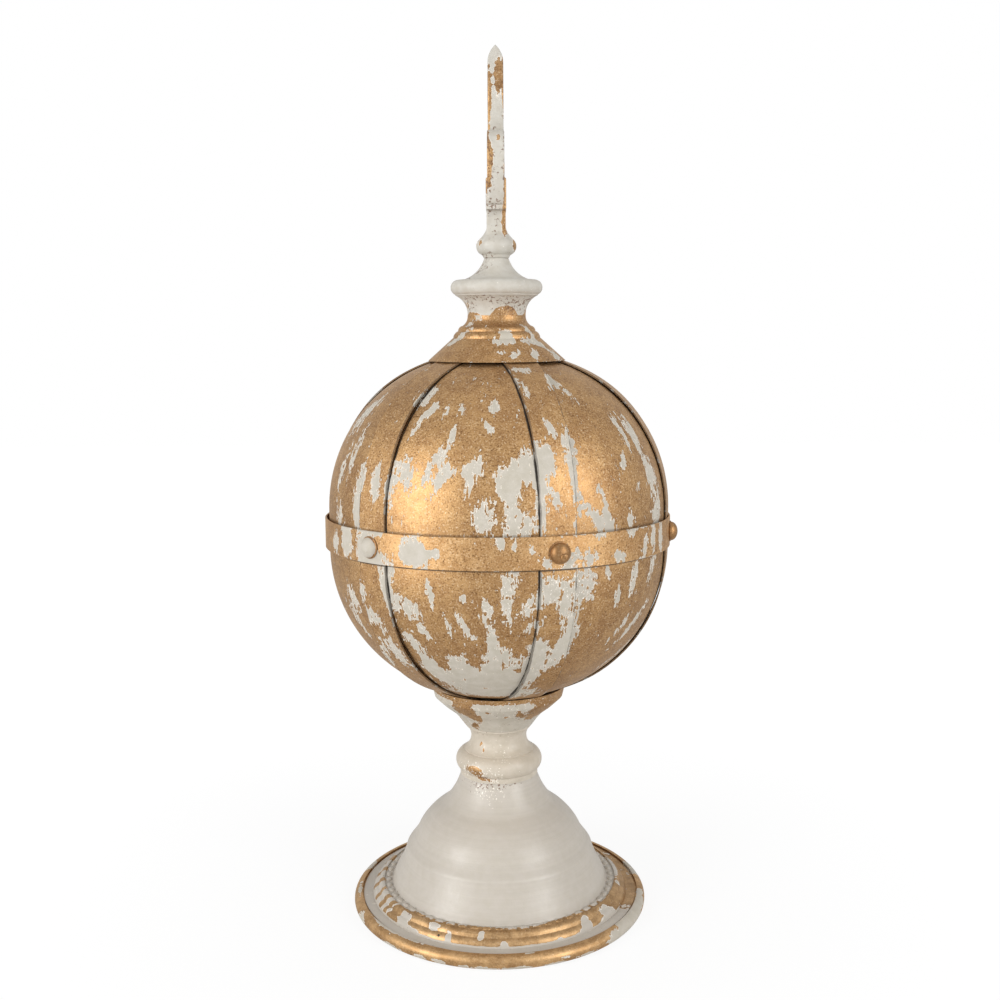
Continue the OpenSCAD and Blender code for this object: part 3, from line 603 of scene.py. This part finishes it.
cup = {"footR": 29.4, "rimR": 57.2, "bandH": 9.5, "bandIn": 2.3, "turnR": 37.6, "turnAt": 0.3, "giltFrom": 187.4}
bandR, cupBandZ = cup["rimR"] - cup["bandIn"], cupTop - cup["bandH"]
turnZ = knopTop + (cupTop - knopTop) * cup["turnAt"]
cupPath = [np.array((cup["rimR"], cupTop))] + smooth(
    [(bandR, cupBandZ), ((bandR + cup["turnR"]) / 2 + 0.6, (cupBandZ + turnZ) / 2), (cup["turnR"], turnZ),
     (cup["footR"], knopTop)], 8)
section = wall(cupPath + [np.array((0.0, knopTop))], -stack["sheetT"])
half = len(section) // 2
outer, inside = section[:half], section[half:]
inside = [np.array((max(0.0, q[0]), min(q[1], cupTop))) for q in inside]
inside[0] = np.array((0.0, knopTop + stack["sheetT"]))
lowerCup = spin("lowerCup", outer[::-1] + inside[::-1], count=240, step=1.8)
co = coords(lowerCup)
azimuth = np.degrees(np.arctan2(co[:, 0], -co[:, 1]))
leaf = -0.6 + 1.2 * np.clip((co[:, 2] - cup["giltFrom"]) / 2.4, 0, 1) * (np.abs(azimuth + 2) < 118)
leaf = leaf + markField(co, [(-33, 181, 9, 9, 10, 1.5), (-26, 172, 6, 5, 20, 1.1), (-36, 163, 3, 5, -30, 1.0),
                             (20, 178, 3, 7, 60, 0.9), (8, 176, 2, 3, 0, 0.9),
                             (50, 183, 11, 16, -14, 1.5), (44, 172, 5, 7, 0, 1.1), (76, 180, 12, 12, 0, 1.4),
                             (-74, 170, 2.4, 14, 70, 1.1), (-10, 181, 1.6, 3, 0, 0.9),
                             (128, 180, 10, 14, 0, 1.4), (-140, 178, 12, 18, 0, 1.4), (176, 184, 8, 16, 0, 1.2)])
wear(lowerCup, leaf, 0.5 * np.clip((co[:, 2] - 176) / 6, 0, 1) * (np.abs(azimuth) < 60) + 0.15,
     0.35 + markField(co, [(18, 176, 4, 10, 70, 0.5), (0, 180, 4, 5, 0, 0.4)]) - 0.2 * np.clip((co[:, 2] - 186) / 3,
         0, 1))
finish(lowerCup, gildedCup, "gilt_sheet", "lower_cup")


# ball, straps, belt and rivets

# chips that show the paint: azimuth, height, half length, half width, lean, amount
ballChips = [
    (-3, 208, 13, 27, 0, -1.7), (-4, 224, 12, 25, 0, -1.6), (0, 243, 14, 10, 0, -1.3), (13, 238, 15, 9, 6, -1.3),
    (-15, 236, 11, 8, 10, -1.2), (-2, 262, 8, 3, 0, -1.0),
    (-9, 239, 2.5, 2.6, 0, 1.2), (-15, 233, 1.8, 4, 0, 1.1), (2, 236, 5, 1.8, 0, 1.2), (8, 232, 2.4, 3, 30, 1.1),
    (-4, 229, 1.5, 4, 0, 1.0), (-6, 213, 1.2, 5, 0, 1.3),
    (-26, 226, 14, 8, -30, -1.2), (-28, 240, 20, 6, -13, -1.2), (-40, 245, 17, 5, -10, -1.2),
    (-49, 237, 18, 7, 22, -1.1),
    (4, 380, 11, 10, 0, -1.4), (12, 392, 12, 9, 20, -1.3), (13, 366, 21, 4, 0, -1.3), (4, 358, 19, 5, 0, -1.2),
    (8, 346, 10, 6, 0, -1.1),
    (-4, 352, 12, 7, 11, -1.2), (-16, 382, 15, 5, 70, -0.9), (-6, 389, 11, 5, 4, -1.0),
    (-18, 394, 8, 4.6, -10, -0.9), (-19, 372, 8, 3, 30, -0.8),
    (-9, 378, 12, 3, 0, -0.8), (-22, 386, 13, 2.6, 20, -0.8), (-30, 382, 13, 7, -16, -1.0),
    (-35, 370, 18, 3.5, 4, -1.1), (-41, 375, 14, 5, -5, -1.1),
    (-49, 371, 22, 5, 0, -1.1), (-50, 350, 10, 6, -13, -1.0), (-29, 422, 13, 3, 20, -1.0),
    (-26, 430, 6, 3, 29, -1.1), (-32, 438, 10, 5, 14, -1.1),
    (-1, 431, 6, 3.4, 2, -1.3), (-3, 417, 7, 2.6, -36, -1.3), (-20, 428, 6, 2.4, 3, -1.0),
    (-14, 430, 5, 2.2, 0, -0.9), (-16, 409, 12, 2.6, 8, -1.1),
    (16, 391, 9, 5.5, -9, -1.2), (24, 398, 22, 5, 2, -1.3), (19, 415, 10, 2.4, -16, -1.1),
    (17, 368, 8, 3.4, -20, -1.0), (25, 366, 16, 2.6, -8, -1.0),
    (30, 352, 12, 4, -26, -1.1), (36, 344, 10, 6, -49, -1.2), (35, 356, 14, 2.4, -10, -1.0),
    (33, 370, 4, 3, -30, -1.0), (46, 390, 10, 4, 10, -1.0),
    (58, 402, 22, 3.6, -12, -1.1), (51, 412, 16, 3, -10, -1.1), (60, 415, 12, 2.6, -5, -1.0),
    (61, 374, 12, 7, 20, -1.1), (52, 369, 5, 3.8, -10, -1.0),
    (63, 345, 22, 8, 20, -1.1), (46, 345, 8, 4, 0, -1.0), (-69, 423, 20, 9, 20, -1.0), (-58, 400, 20, 4, 0, -1.0),
    (-64, 380, 22, 4, 4, -1.0),
    (-62, 345, 12, 6, 0, -1.0), (26, 298, 20, 10, 20, -1.1), (17, 298, 13, 8, -18, -1.1),
    (11, 288, 14, 6, 46, -1.0), (3, 300, 13, 6, 5, -1.1),
    (24, 266, 12, 6.5, -8, -1.1), (22, 246, 13, 6, 6, -1.2), (11, 271, 9, 4, 51, -1.0), (14, 256, 7, 6, 30, -1.0),
    (-30, 284, 14, 8, -50, -1.1),
    (-37, 296, 16, 3.4, -10, -1.1), (-35, 308, 9, 3.2, 12, -1.1), (-45, 272, 9, 6.6, -43, -1.1),
    (-56, 282, 12, 6, -14, -1.0), (-48, 291, 9, 4, 9, -1.1),
    (-58, 262, 16, 5, -30, -1.0), (-21, 295, 11, 2.6, -8, -1.1), (-16, 272, 9, 2.4, -14, -1.0),
    (-10, 268, 12, 3, -29, -1.1), (-25, 264, 6, 4, -37, -1.1),
    (-33, 259, 9, 4, -21, -1.0), (-10, 293, 4, 3, -17, -1.1), (-3, 286, 3, 9, 70, -0.9),
    (3, 279, 2.4, 11, 80, -0.9), (-4, 276, 2, 8, 70, -0.8),
    (48, 298, 14, 4, 5, -1.1), (41, 288, 9, 2.6, -3, -1.0), (36, 307, 6, 3, -19, -1.0),
    (56, 262, 22, 3.4, 38, -1.0), (47, 260, 12, 3.4, 34, -0.9),
    (61, 232, 18, 3, 43, -1.0), (60, 305, 12, 5, 20, -1.0), (28, 449, 9, 4, 8, -1.1), (15, 458, 4, 9, 0, -1.0),
    (12, 446, 12, 2.6, -14, -1.0),
    (33, 444, 13, 3, -20, -1.0)]
beltChips = [
    (-26, 329, 9, 8, 0, -1.3), (-24, 323, 6, 12, 0, -1.1), (-44, 328, 11, 9, 0, -1.3), (-54, 330, 12, 7, 0, -1.3),
    (-40, 319, 6, 14, 0, -1.1),
    (-18, 327, 3, 3, -30, -1.0), (-38, 339, 3, 5, 0, -1.1), (1, 334, 4.5, 3, -20, -1.1), (5, 332, 4, 2, 0, -1.0),
    (10, 331, 5, 1.5, 0, -0.9),
    (14, 320, 5, 3.5, -44, -1.0), (22, 320, 8, 4, 36, -1.1), (28, 322, 5, 6, 0, -1.0), (32, 338, 5, 4, 60, -1.0),
    (39, 320, 7, 4, -72, -1.2),
    (45, 336, 4, 4, 0, -1.0), (52, 325, 8, 3, 16, -1.1), (57, 331, 11, 3.5, 0, -1.2), (63, 327, 12, 4, 0, -1.1),
    (-62, 324, 8, 6, 0, -1.0),
    (-15, 343, 2, 4, 0, -1.0)]
backChips = [(az, z, long, wide * 0.62, tilt, -1.3) for az, z, long, wide, tilt in (  # the far side, in keeping
    (150, 380, 26, 12, 5), (172, 352, 20, 9, -8), (-160, 392, 18, 8, 12), (-128, 372, 30, 7, -4),
    (112, 392, 24, 6, 8), (98, 352, 16, 8, -6),
    (-98, 352, 20, 9, 10), (-150, 296, 18, 12, -10), (168, 280, 22, 8, 8), (128, 292, 26, 9, -12),
    (-112, 286, 22, 8, 6), (104, 262, 22, 6, -18),
    (-172, 236, 18, 16, 0), (142, 234, 16, 12, 14), (-126, 238, 20, 8, -20), (-140, 424, 14, 5, 10),
    (158, 430, 12, 6, -8), (122, 436, 10, 4, 6),
    (-104, 420, 16, 4, -10), (-170, 322, 12, 9, 0), (138, 330, 9, 8, 0), (-118, 328, 10, 8, 0), (100, 326, 8, 7, 0))]
ballFlecks = [(20, 304, 10, 22, 0, 0.9), (27, 290, 14, 10, 0, 0.8), (3, 300, 12, 7, 0, 0.6),
              (2, 282, 5, 22, 10, 0.6), (22, 320, 8, 14, 0, 0.7),
              (62, 370, 26, 8, 0, 0.5), (60, 300, 16, 8, 0, 0.4), (14, 440, 14, 5, -14, 0.5),
              (56, 262, 20, 5, 38, 0.4), (34, 440, 14, 4, -20, 0.5),
              (6, 384, 18, 12, 0, 0.3), (-16, 384, 14, 16, 0, 0.4)]

ballOutline = (arc((ballIn, lowZ), stack["ballRound"], -90, 0, 110) + arc((ballIn, highZ), stack["ballRound"], 0,
    90, 110))
ballOutline = [np.array((0.0, lowZ - stack["ballRound"]))] + ballOutline + [np.array((0.0,
    highZ + stack["ballRound"]))]
ball = spin("ball", ballOutline, count=380, step=2.4)


def shellWear(obj, base, chips, edges=None):
    co = coords(obj)
    leaf = base + 0.82 * markField(co, chips)
    if edges is not None:
        leaf = leaf + edges(co)
    wear(obj, leaf, markField(co, ballFlecks), 0.0)


shellWear(ball, 0.58, ballChips + backChips)
finish(ball, gildedBall, "gilt_sheet", "ball")

strap = {"rows": 300, "across": 12, "lift": 1.1, "edge": 0.35}


def strapPath(offset):  # radius, height along one strap's face
    r = stack["ballRound"] + stack["strapSeat"] + offset
    end = math.degrees(math.acos((stack["strapEnd"] - ballIn) / r))
    low = [(t, ballIn + r * math.cos(math.radians(t)),
            lowZ + r * math.sin(math.radians(t))) for t in np.linspace(-end, 0, strap["rows"] // 2)]
    high = [(t, ballIn + r * math.cos(math.radians(t)),
             highZ + r * math.sin(math.radians(t))) for t in np.linspace(0, end, strap["rows"] // 2)]
    return low + high, end


def makeStrap(index):
    inner, end = strapPath(0.0)
    outer, _ = strapPath(stack["strapT"])
    a = math.radians(stack["strapTurn"] + 60 * index)
    out, side = np.array((math.sin(a), -math.cos(a), 0)), np.array((math.cos(a), math.sin(a), 0))
    w, e = stack["strapW"] / 2, strap["edge"]
    xs = np.linspace(-w + e, w - e, strap["across"] + 1)
    verts, rows = [], []
    for (t, r0, z0), (_, r1, z1) in zip(inner, outer):
        s = math.sin(math.pi * min(1, max(0, (abs(t) - 6) / (end - 13)))) ** 2
        rise = strap["lift"] * s * (0.75 + 0.5 * math.sin(index * 2.1 + t * 0.09))
        n = np.array((math.cos(math.radians(t)), math.sin(math.radians(t))))
        lowP = out * (r0 + n[0] * rise) + np.array((0, 0, z0 + n[1] * rise))
        highP = out * (r1 + n[0] * rise) + np.array((0, 0, z1 + n[1] * rise))
        down = out * n[0] + np.array((0, 0, n[1]))
        row = [highP + side * x for x in xs]
        row += [highP + side * w - down * e, lowP + side * w] + [lowP + side * x for x in (w * 0.33, -w * 0.33)]
        row += [lowP - side * w, highP - side * w - down * e]
        rows.append(list(range(len(verts), len(verts) + len(row))))
        verts += row
    faces, n = [], len(rows[0])
    for p, q in zip(rows, rows[1:]):
        faces += [(p[i], p[(i + 1) % n], q[(i + 1) % n], q[i]) for i in range(n)]
    faces += [tuple(rows[0][::-1]), tuple(rows[-1])]
    piece = newMesh(f"strap{index + 1}", verts, faces, 40)

    def edges(co):
        off = np.abs(co @ side)
        along = np.sin(co[:, 2] * 0.13 + index * 2) + np.sin(co[:, 2] * 0.31 + index)
        return -0.42 * np.clip((off - 11.6) / 2.2, 0, 1) * np.clip(0.5 + 0.6 * along, 0, 1.3)

    shellWear(piece, 0.58, ballChips + backChips, edges)
    finish(piece, gildedStraps, "gilt_straps", f"strap_{index + 1}")


for index in range(6):
    makeStrap(index)

b, e = beltR + stack["beltT"], 0.35
z0, z1 = beltZ - stack["beltH"] / 2, beltZ + stack["beltH"] / 2
belt = spin("belt", [(beltR, z0), (b - e, z0), (b, z0 + e), (b, z1 - e), (b - e, z1), (beltR, z1)], closed=True,
            count=420, step=2.2)
co = coords(belt)
edgeWear = -0.5 * np.clip((np.abs(co[:, 2] - beltZ) - stack["beltH"] / 2 + 1.6) / 1.6, 0,
                          1) * np.clip(np.sin(co[:, 0] * 0.12 + 1) + 0.4, 0, 1)
wear(belt, 0.64 + markField(co, beltChips + backChips) + edgeWear, markField(co, ballFlecks), 0.0)
finish(belt, gildedBelt, "gilt_straps", "belt")

rivet = {"flangeD": 17.0, "flangeT": 0.8, "headD": 15.4, "rise": 6.3, "seat": 0.1, "nubR": 3.1}


def rivetItem(tree):  # a round head on a thin washer, standing out along X
    headMesh = bpy.data.meshes.new("rivetHead")
    hr, fr = rivet["headD"] / 2, rivet["flangeD"] / 2
    line = [(0.0, fr - 0.3), (0.3, fr), (rivet["flangeT"] - 0.2, fr), (rivet["flangeT"], fr - 0.25),
            (rivet["flangeT"], hr)]
    line += [(rivet["flangeT"] + (rivet["rise"] - rivet["flangeT"]) * math.sin(q),
              hr * math.cos(q)) for q in np.linspace(0.1, math.pi / 2, 12)]
    verts, rings, n = [], [], 36
    for x, r in line:
        if r < 1e-4:
            rings.append([len(verts)])
            verts.append((x / 1000, 0, 0))
        else:
            rings.append(list(range(len(verts), len(verts) + n)))
            verts += [(x / 1000, r * math.cos(2 * math.pi * i / n) / 1000,
                       r * math.sin(2 * math.pi * i / n) / 1000) for i in range(n)]
    faces = [tuple(rings[0][::-1])]
    for p, q in zip(rings, rings[1:]):
        for i in range(n):
            j = (i + 1) % n
            faces.append((p[i], p[j], q[0]) if len(q) == 1 else (p[i], p[j], q[j], q[i]))
    headMesh.from_pydata(verts, [], faces)
    head = bpy.data.objects.new("rivetHead", headMesh)
    bpy.context.scene.collection.objects.link(head)
    tempObjects.append(head)
    info = addNode(tree, "GeometryNodeObjectInfo", {"Object": head})
    turned = addNode(tree, "GeometryNodeTransform", {"Geometry": info.outputs["Geometry"]})
    return turned.outputs[0]


tempObjects = []
rivets = instanceRing("rivets", 6, beltR + stack["beltT"] + rivet["seat"], beltZ, rivetItem, gildedRivets)
for extra in tempObjects:
    bpy.data.objects.remove(extra)
rivets.data.transform(Matrix.Rotation(math.radians(stack["strapTurn"] - 90), 4, "Z"))
bm = bmesh.new()
bm.from_mesh(rivets.data)
bmesh.ops.recalc_face_normals(bm, faces=bm.faces)
bm.to_mesh(rivets.data)
bm.free()
rivets.data.set_sharp_from_angle(angle=math.radians(50))
co = coords(rivets)
azimuth = np.degrees(np.arctan2(co[:, 0], -co[:, 1]))
beige = np.abs(azimuth + 41.7) < 8
rhoR = np.hypot(co[:, 0], co[:, 1])
edgeR = rhoR < beltR + stack["beltT"] + 1.6
wear(rivets, np.where(beige, -0.7 + 1.2 * edgeR, 0.9), 0.1, 0.8 * edgeR)
finish(rivets, gildedRivets, "rivet_heads", *[f"rivet_{i + 1}" for i in range(6)])

# the small raised nub left on the rivet right of the middle
at = around(stack["strapTurn"] + 0.5, beltR + stack["beltT"] + rivet["rise"] - 0.9, beltZ - 2.6)
nubOutline = [(0, 0), (rivet["nubR"], 0)] + arc((0, 0), rivet["nubR"], 12, 78, 5) + [(0, rivet["nubR"] * 0.45)]
nub = spin("rivetNub", [(r, z if z < 0.5 else 0.9 + z * 0.42) for r, z in nubOutline], count=28, step=0.6)
nub.data.transform(Matrix.Translation(at / 1000) @ Matrix.Rotation(math.radians(stack["strapTurn"]), 4,
    "Z") @ Matrix.Rotation(math.radians(97), 4, "X"))
wear(nub, 0.6)
finish(nub, gildedRivets, "rivet_heads")


# collar and upper knop

collar = {"mouldA": (5.6, 32.2), "mouldB": (4.4, 28.6), "swell": 0.9, "sweepH": 8.4, "topR": 23.8}
crown = {"knopH": 22.4, "hollow": 16.5, "rimR": 37.5, "rimT": 12.4, "spireR": 27.5, "spireH": 16.8,
         "spireHollow": 3.0, "spireTop": 10.0}
coneZ = collarZ + stack["coneH"]
aZ = coneZ + collar["mouldA"][0]
bZ = aZ + collar["mouldB"][0]
upperKnopZ = bZ + collar["sweepH"]
rimZ = upperKnopZ + crown["knopH"]
spireZ = rimZ + crown["rimT"] / 2
fleurZ = spireZ + crown["spireH"]
collarPath = ([np.array((stack["collarR"], collarZ))] + [np.array((stack["coneTopR"], coneZ))]
              + bow((stack["coneTopR"] - 0.4, coneZ), (collar["mouldA"][1], aZ), -collar["swell"], 8)
              + bow((collar["mouldA"][1] - 0.4, aZ), (collar["mouldB"][1], bZ), -collar["swell"], 8)
              + bow((collar["mouldB"][1] - 0.4, bZ), (collar["topR"], upperKnopZ), 1.3, 10))
upperCollar = spin("upperCollar", wall(collarPath, stack["sheetT"]), closed=True, count=260, step=1.6, sharpAngle=32)
for v in upperCollar.data.vertices:
    v.co.z = min(max(v.co.z, collarZ / 1000), upperKnopZ / 1000)
co = coords(upperCollar)
collarMarks = [(9, 482, 4.4, 9, 0, -1.3), (14, 486, 3, 5, 30, -1.0), (12, 489, 3, 5, 0, -1.1),
               (39, 482, 4, 4.5, 0, -1.2), (36, 471, 7, 3.4, 20, -1.2),
               (18, 473, 3, 7, -40, -1.1), (4, 474, 2.4, 4, 0, -1.0), (56, 480, 7, 5, -45, -1.1),
               (51, 491, 7, 2.6, -23, -1.0), (67, 470, 7, 6, 40, -1.0),
               (-54, 486, 9, 3, 40, -1.2), (-67, 480, 6, 5, 40, -1.0), (-54, 496, 4, 3.6, 40, -1.0),
               (-42, 504, 2.4, 3.4, 0, -1.0), (-17, 506, 5, 8, 0, -1.4),
               (-36, 501, 3, 4, 0, -0.9), (150, 484, 9, 7, 10, -1.2), (-150, 478, 8, 6, -20, -1.2),
               (110, 492, 7, 5, 0, -1.1), (-105, 476, 7, 5, 20, -1.1)]
edge = -0.5 * np.clip((collarZ + 1.6 - co[:, 2]) / 1.4, 0, 1) * np.clip(np.sin(co[:, 0] * 0.2) - 0.1, 0, 1)
wear(upperCollar, 0.66 + 0.86 * markField(co, collarMarks) + edge, markField(co, [(40, 474, 10, 10, 0, 0.4)]), 0.1)
upperCollar.data.transform(lean)
finish(upperCollar, gildedCollar, "gilt_sheet", "upper_collar")

bodyR = crown["rimR"] - crown["rimT"] * 0.3
hx, hz = collar["topR"] + crown["hollow"], upperKnopZ + 1
rr = crown["rimT"] / 2
cxr = crown["rimR"] - rr
lowA = math.degrees(math.asin(max(-1, -math.sqrt(rr ** 2 - (bodyR - cxr) ** 2) / rr)))
endA = 180 - math.degrees(math.acos((hx - min(bodyR, hx)) / crown["hollow"]))
topHollow = math.sqrt(crown["hollow"] ** 2 - (hx - min(bodyR, hx)) ** 2)
crownOutline = ([(0, upperKnopZ), (collar["topR"] - 0.05, upperKnopZ)] + arc((hx, hz), crown["hollow"], 180, endA, 24)
                + [(bodyR, hz + topHollow + 0.2)] + arc((cxr, rimZ), rr, lowA, 90, 26) + [(crown["spireR"], spireZ)]
                + bow((crown["spireR"], spireZ), (crown["spireTop"], fleurZ), crown["spireHollow"],
                      14)[1:] + [(0, fleurZ)])
upperKnop = spin("upperKnop", crownOutline, count=220, step=1.3, sharpAngle=40)
co = coords(upperKnop)
azimuth = np.degrees(np.arctan2(co[:, 0], -co[:, 1]))
z = co[:, 2]
leafTop = (504.4 + 5.0 * np.exp(-((azimuth - 14) / 27) ** 4) - 5.0 * np.exp(-((azimuth + 22) / 9) ** 2)
           + 1.5 * np.sin(np.radians(azimuth * 5)))  # how high the gold still reaches, all round
leaf = np.clip((leafTop - z) / 1.6, -1, 1) * 0.8 + markField(co, [(-70, 512, 5, 4, 0, 0.9), (76, 508, 6, 4, 0, 0.8)])
dirtAndShade = markField(co, [(24, 514, 5, 22, 0, 0.8), (12, 517, 2.4, 26, 0, 0.7), (-24, 517, 2.6, 10, 0, 0.9),
                      (-60, 510, 7, 6, 0, 0.8), (50, 512, 7, 10, 0, 0.6),
                      (-75, 530, 5, 5, 0, 0.9), (-66, 533, 3, 12, 0, 0.8), (-52, 539, 6, 5, 30, 0.9),
                      (-40, 545, 5, 4, 20, 0.9), (-20, 548, 2.4, 6, 0, 0.8),
                      (16, 507, 3, 12, 0, 0.5), (150, 514, 4, 30, 0, 0.6), (-150, 540, 6, 8, 0, 0.7)])
wear(upperKnop, leaf, markField(co, [(45, 524, 9, 14, 0, 0.6), (-22, 546, 5, 6, 0, 0.6),
                                     (20, 512, 8, 14, 0, 0.4)]) + 0.1, dirtAndShade + 0.1)
upperKnop.data.transform(lean)
finish(upperKnop, paintedCasting, "painted_casting", "upper_knop")


# fleur-de-lis

fleur = {"voxel": 0.7, "rounding": 9, "tipH": 14.0}
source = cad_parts["fleur_de_lis"].data.copy()
source.transform(lean.inverted())
bm = bmesh.new()
bm.from_mesh(source)
bmesh.ops.remove_doubles(bm, verts=bm.verts, dist=1e-5)
bm.to_mesh(source)
bm.free()
fleurDeLis = bpy.data.objects.new("fleurDeLis", source)
bpy.context.scene.collection.objects.link(fleurDeLis)
mod = fleurDeLis.modifiers.new("even", "REMESH")
mod.mode, mod.voxel_size, mod.use_smooth_shade = "VOXEL", fleur["voxel"] / 1000, True
soft = fleurDeLis.modifiers.new("soft", "SMOOTH")
soft.factor, soft.iterations = 0.5, fleur["rounding"]
mesh = bpy.data.meshes.new_from_object(fleurDeLis.evaluated_get(bpy.context.evaluated_depsgraph_get()))
fleurDeLis.modifiers.clear()
fleurDeLis.data = mesh
mesh.name = "fleurDeLis"
mesh.polygons.foreach_set("use_smooth", [True] * len(mesh.polygons))
co = coords(fleurDeLis)
top = max(v.co.z for v in source.vertices) * 1000
tip = np.clip((co[:, 2] - top + fleur["tipH"]) / fleur["tipH"], 0, 1) ** 2  # the rounding must not blunt the point
co[:, 2] += (top - co[:, 2].max()) * tip
mesh.vertices.foreach_set("co", (co / 1000).ravel())


def patch(marks, front=True):  # x, z, half width, half height, amount; front: not on the far edge
    field = np.zeros(len(co))
    for x, zz, wide, long, amount in marks:
        apart = np.hypot((co[:, 0] - x) / wide, (co[:, 2] - zz) / long)
        field += amount * bump(apart) * (co[:, 1] < 12 if front else 1)
    return field


leaf = -0.75 + patch([(2.4, 687, 3.2, 13, 1.6), (-5, 675, 2, 17, 1.4), (7, 690, 1.6, 18, 1.2),
                      (7, 665, 1.6, 14, 0.9), (-6.6, 640, 1.8, 26, 0.9),
                      (-5, 622, 3, 9, 1.2), (-6, 606, 2.6, 12, 1.1), (7.6, 598, 1.7, 24, 1.3),
                      (6.6, 577, 2.2, 9, 1.2), (15.5, 561, 2.4, 8, 1.2),
                      (-14, 562, 4, 4, 0.8), (2, 635, 1.6, 3, 0.9)])
# dark marks on the fleur: soiling in spots, and painted shade in its small hollows and as the long thin lines along
# the rounded edges of its face
dirtAndShade = patch([(-2, 586, 3.6, 3, 1.0), (1, 588, 3, 3, 1.0), (2, 578, 4, 2, 0.8), (-3, 608, 5, 3, 0.8),
              (-5, 618, 3, 12, 0.8), (-6, 600, 3, 14, 0.7),
              (-1, 647, 2, 2, 0.9), (6.5, 612, 1.4, 30, 0.6), (-6.6, 650, 1.2, 34, 0.7), (6.6, 656, 1.2, 30, 0.6),
              (-9, 551, 8, 2, 0.9), (12, 552, 5, 2, 0.6),
              (0, 571, 2, 4, 0.6)])
speck = patch([(-2, 600, 8, 24, 0.5), (0, 560, 12, 8, 0.3)], False)
wear(fleurDeLis, leaf, 0.12 + speck * 0.6, dirtAndShade + 0.16 + speck * 0.4)
fleurDeLis.data.transform(lean)
finish(fleurDeLis, paintedCasting, "painted_casting", "fleur_de_lis")


# room, light and camera

# metres; near the object the floor shows its own shadow, and further out it turns to plain white
ground = {"halfSide": 6.0, "drop": 0.0003, "matt": 0.88, "glow": 1.02, "near": 0.16, "far": 0.6, "nearShare": 0.88}


def stageMaterial():
    mat = bpy.data.materials.new("paleFloor")
    mat.use_nodes = True
    t = mat.node_tree
    t.nodes.clear()
    ray = addNode(t, "ShaderNodeLightPath")
    matt = addNode(t, "ShaderNodeBsdfDiffuse", {"Color": (ground["matt"],) * 3 + (1,)})
    glow = addNode(t, "ShaderNodeEmission", {"Color": (1, 1, 1, 1), "Strength": ground["glow"]})
    place = addNode(t, "ShaderNodeTexCoord").outputs["Object"]
    away = addNode(t, "ShaderNodeVectorMath", {0: place}, operation="LENGTH").outputs["Value"]
    share = addNode(t, "ShaderNodeMapRange", {"Value": away, "From Min": ground["near"], "From Max": ground["far"],
                                              "To Min": ground["nearShare"], "To Max": 1.0})
    part = addNode(t, "ShaderNodeMath", {0: ray.outputs["Is Camera Ray"], 1: share.outputs[0]}, operation="MULTIPLY")
    both = addNode(t, "ShaderNodeMixShader", {0: part.outputs[0], 1: matt.outputs[0], 2: glow.outputs[0]})
    t.links.new(both.outputs[0], addNode(t, "ShaderNodeOutputMaterial").inputs[0])
    return mat


floorMesh = bpy.data.meshes.new("floor")
reach = ground["halfSide"]
floorMesh.from_pydata([(-reach, -reach, 0), (reach, -reach, 0), (reach, reach, 0), (-reach, reach, 0)], [],
                      [(0, 1, 2, 3)])
floor = bpy.data.objects.new("floor", floorMesh)
floor.location.z = -ground["drop"]
floor.data.materials.append(stageMaterial())
bpy.context.scene.collection.objects.link(floor)

room = {"ambient": 0.46, "mirrored": 0.72}  # the white room's light on the object, and its share in reflections
world = bpy.data.worlds.new("studio")
bpy.context.scene.world = world
world.use_nodes = True
t = world.node_tree
t.nodes.clear()
ray = addNode(t, "ShaderNodeLightPath")
gloss = addNode(t, "ShaderNodeMath", {0: ray.outputs["Is Glossy Ray"], 1: room["mirrored"]}, operation="MULTIPLY")
seen = addNode(t, "ShaderNodeMath", {0: ray.outputs["Is Camera Ray"], 1: ray.outputs["Is Transmission Ray"]},
               operation="MAXIMUM")
seen = addNode(t, "ShaderNodeMath", {0: seen.outputs[0], 1: gloss.outputs[0]}, operation="MAXIMUM")
level = addNode(t, "ShaderNodeMath", {0: seen.outputs[0], 1: room["ambient"]}, operation="MAXIMUM")
sky = addNode(t, "ShaderNodeBackground", {"Color": (1, 1, 1, 1), "Strength": level.outputs[0]})
t.links.new(sky.outputs[0], addNode(t, "ShaderNodeOutputWorld").inputs[0])


def softLamp(name, azimuth, elevation, distance, size, power, target=(0, 0, 0.33)):  # size: wide, tall
    light = bpy.data.lights.new(name, "AREA")
    light.shape, light.energy = "RECTANGLE", power
    light.size, light.size_y = size
    lamp = bpy.data.objects.new(name, light)
    e = math.radians(elevation)
    lamp.location = around(azimuth, distance * math.cos(e), 0) + Vector((0, 0,
        distance * math.sin(e))) + Vector(target)
    lamp.rotation_euler = (Vector(target) - lamp.location).to_track_quat("-Z", "Y").to_euler()
    bpy.context.scene.collection.objects.link(lamp)


softLamp("leftWindow", -54, 12, 2.6, (1.1, 1.7), 44)
softLamp("rightWindow", 50, 16, 2.6, (0.8, 1.7), 33)
softLamp("overhead", 0, 80, 1.6, (1.2, 1.2), 1.5)

# mm, metres, degrees
view = {"lens": 39.6, "sensor": 36.0, "eye": (0.0020, -0.9217, 0.4565), "pitch": 6.617, "roll": -0.28}
camera = bpy.data.cameras.new("camera")
camera.lens, camera.sensor_width = view["lens"], view["sensor"]
eye = bpy.data.objects.new("camera", camera)
eye.matrix_world = (Matrix.Translation(view["eye"]) @ Matrix.Rotation(math.radians(90 - view["pitch"]), 4, "X")
                    @ Matrix.Rotation(math.radians(view["roll"]), 4, "Z"))
bpy.context.scene.collection.objects.link(eye)
bpy.context.scene.camera = eye
bpy.context.scene.view_settings.view_transform = "Standard"
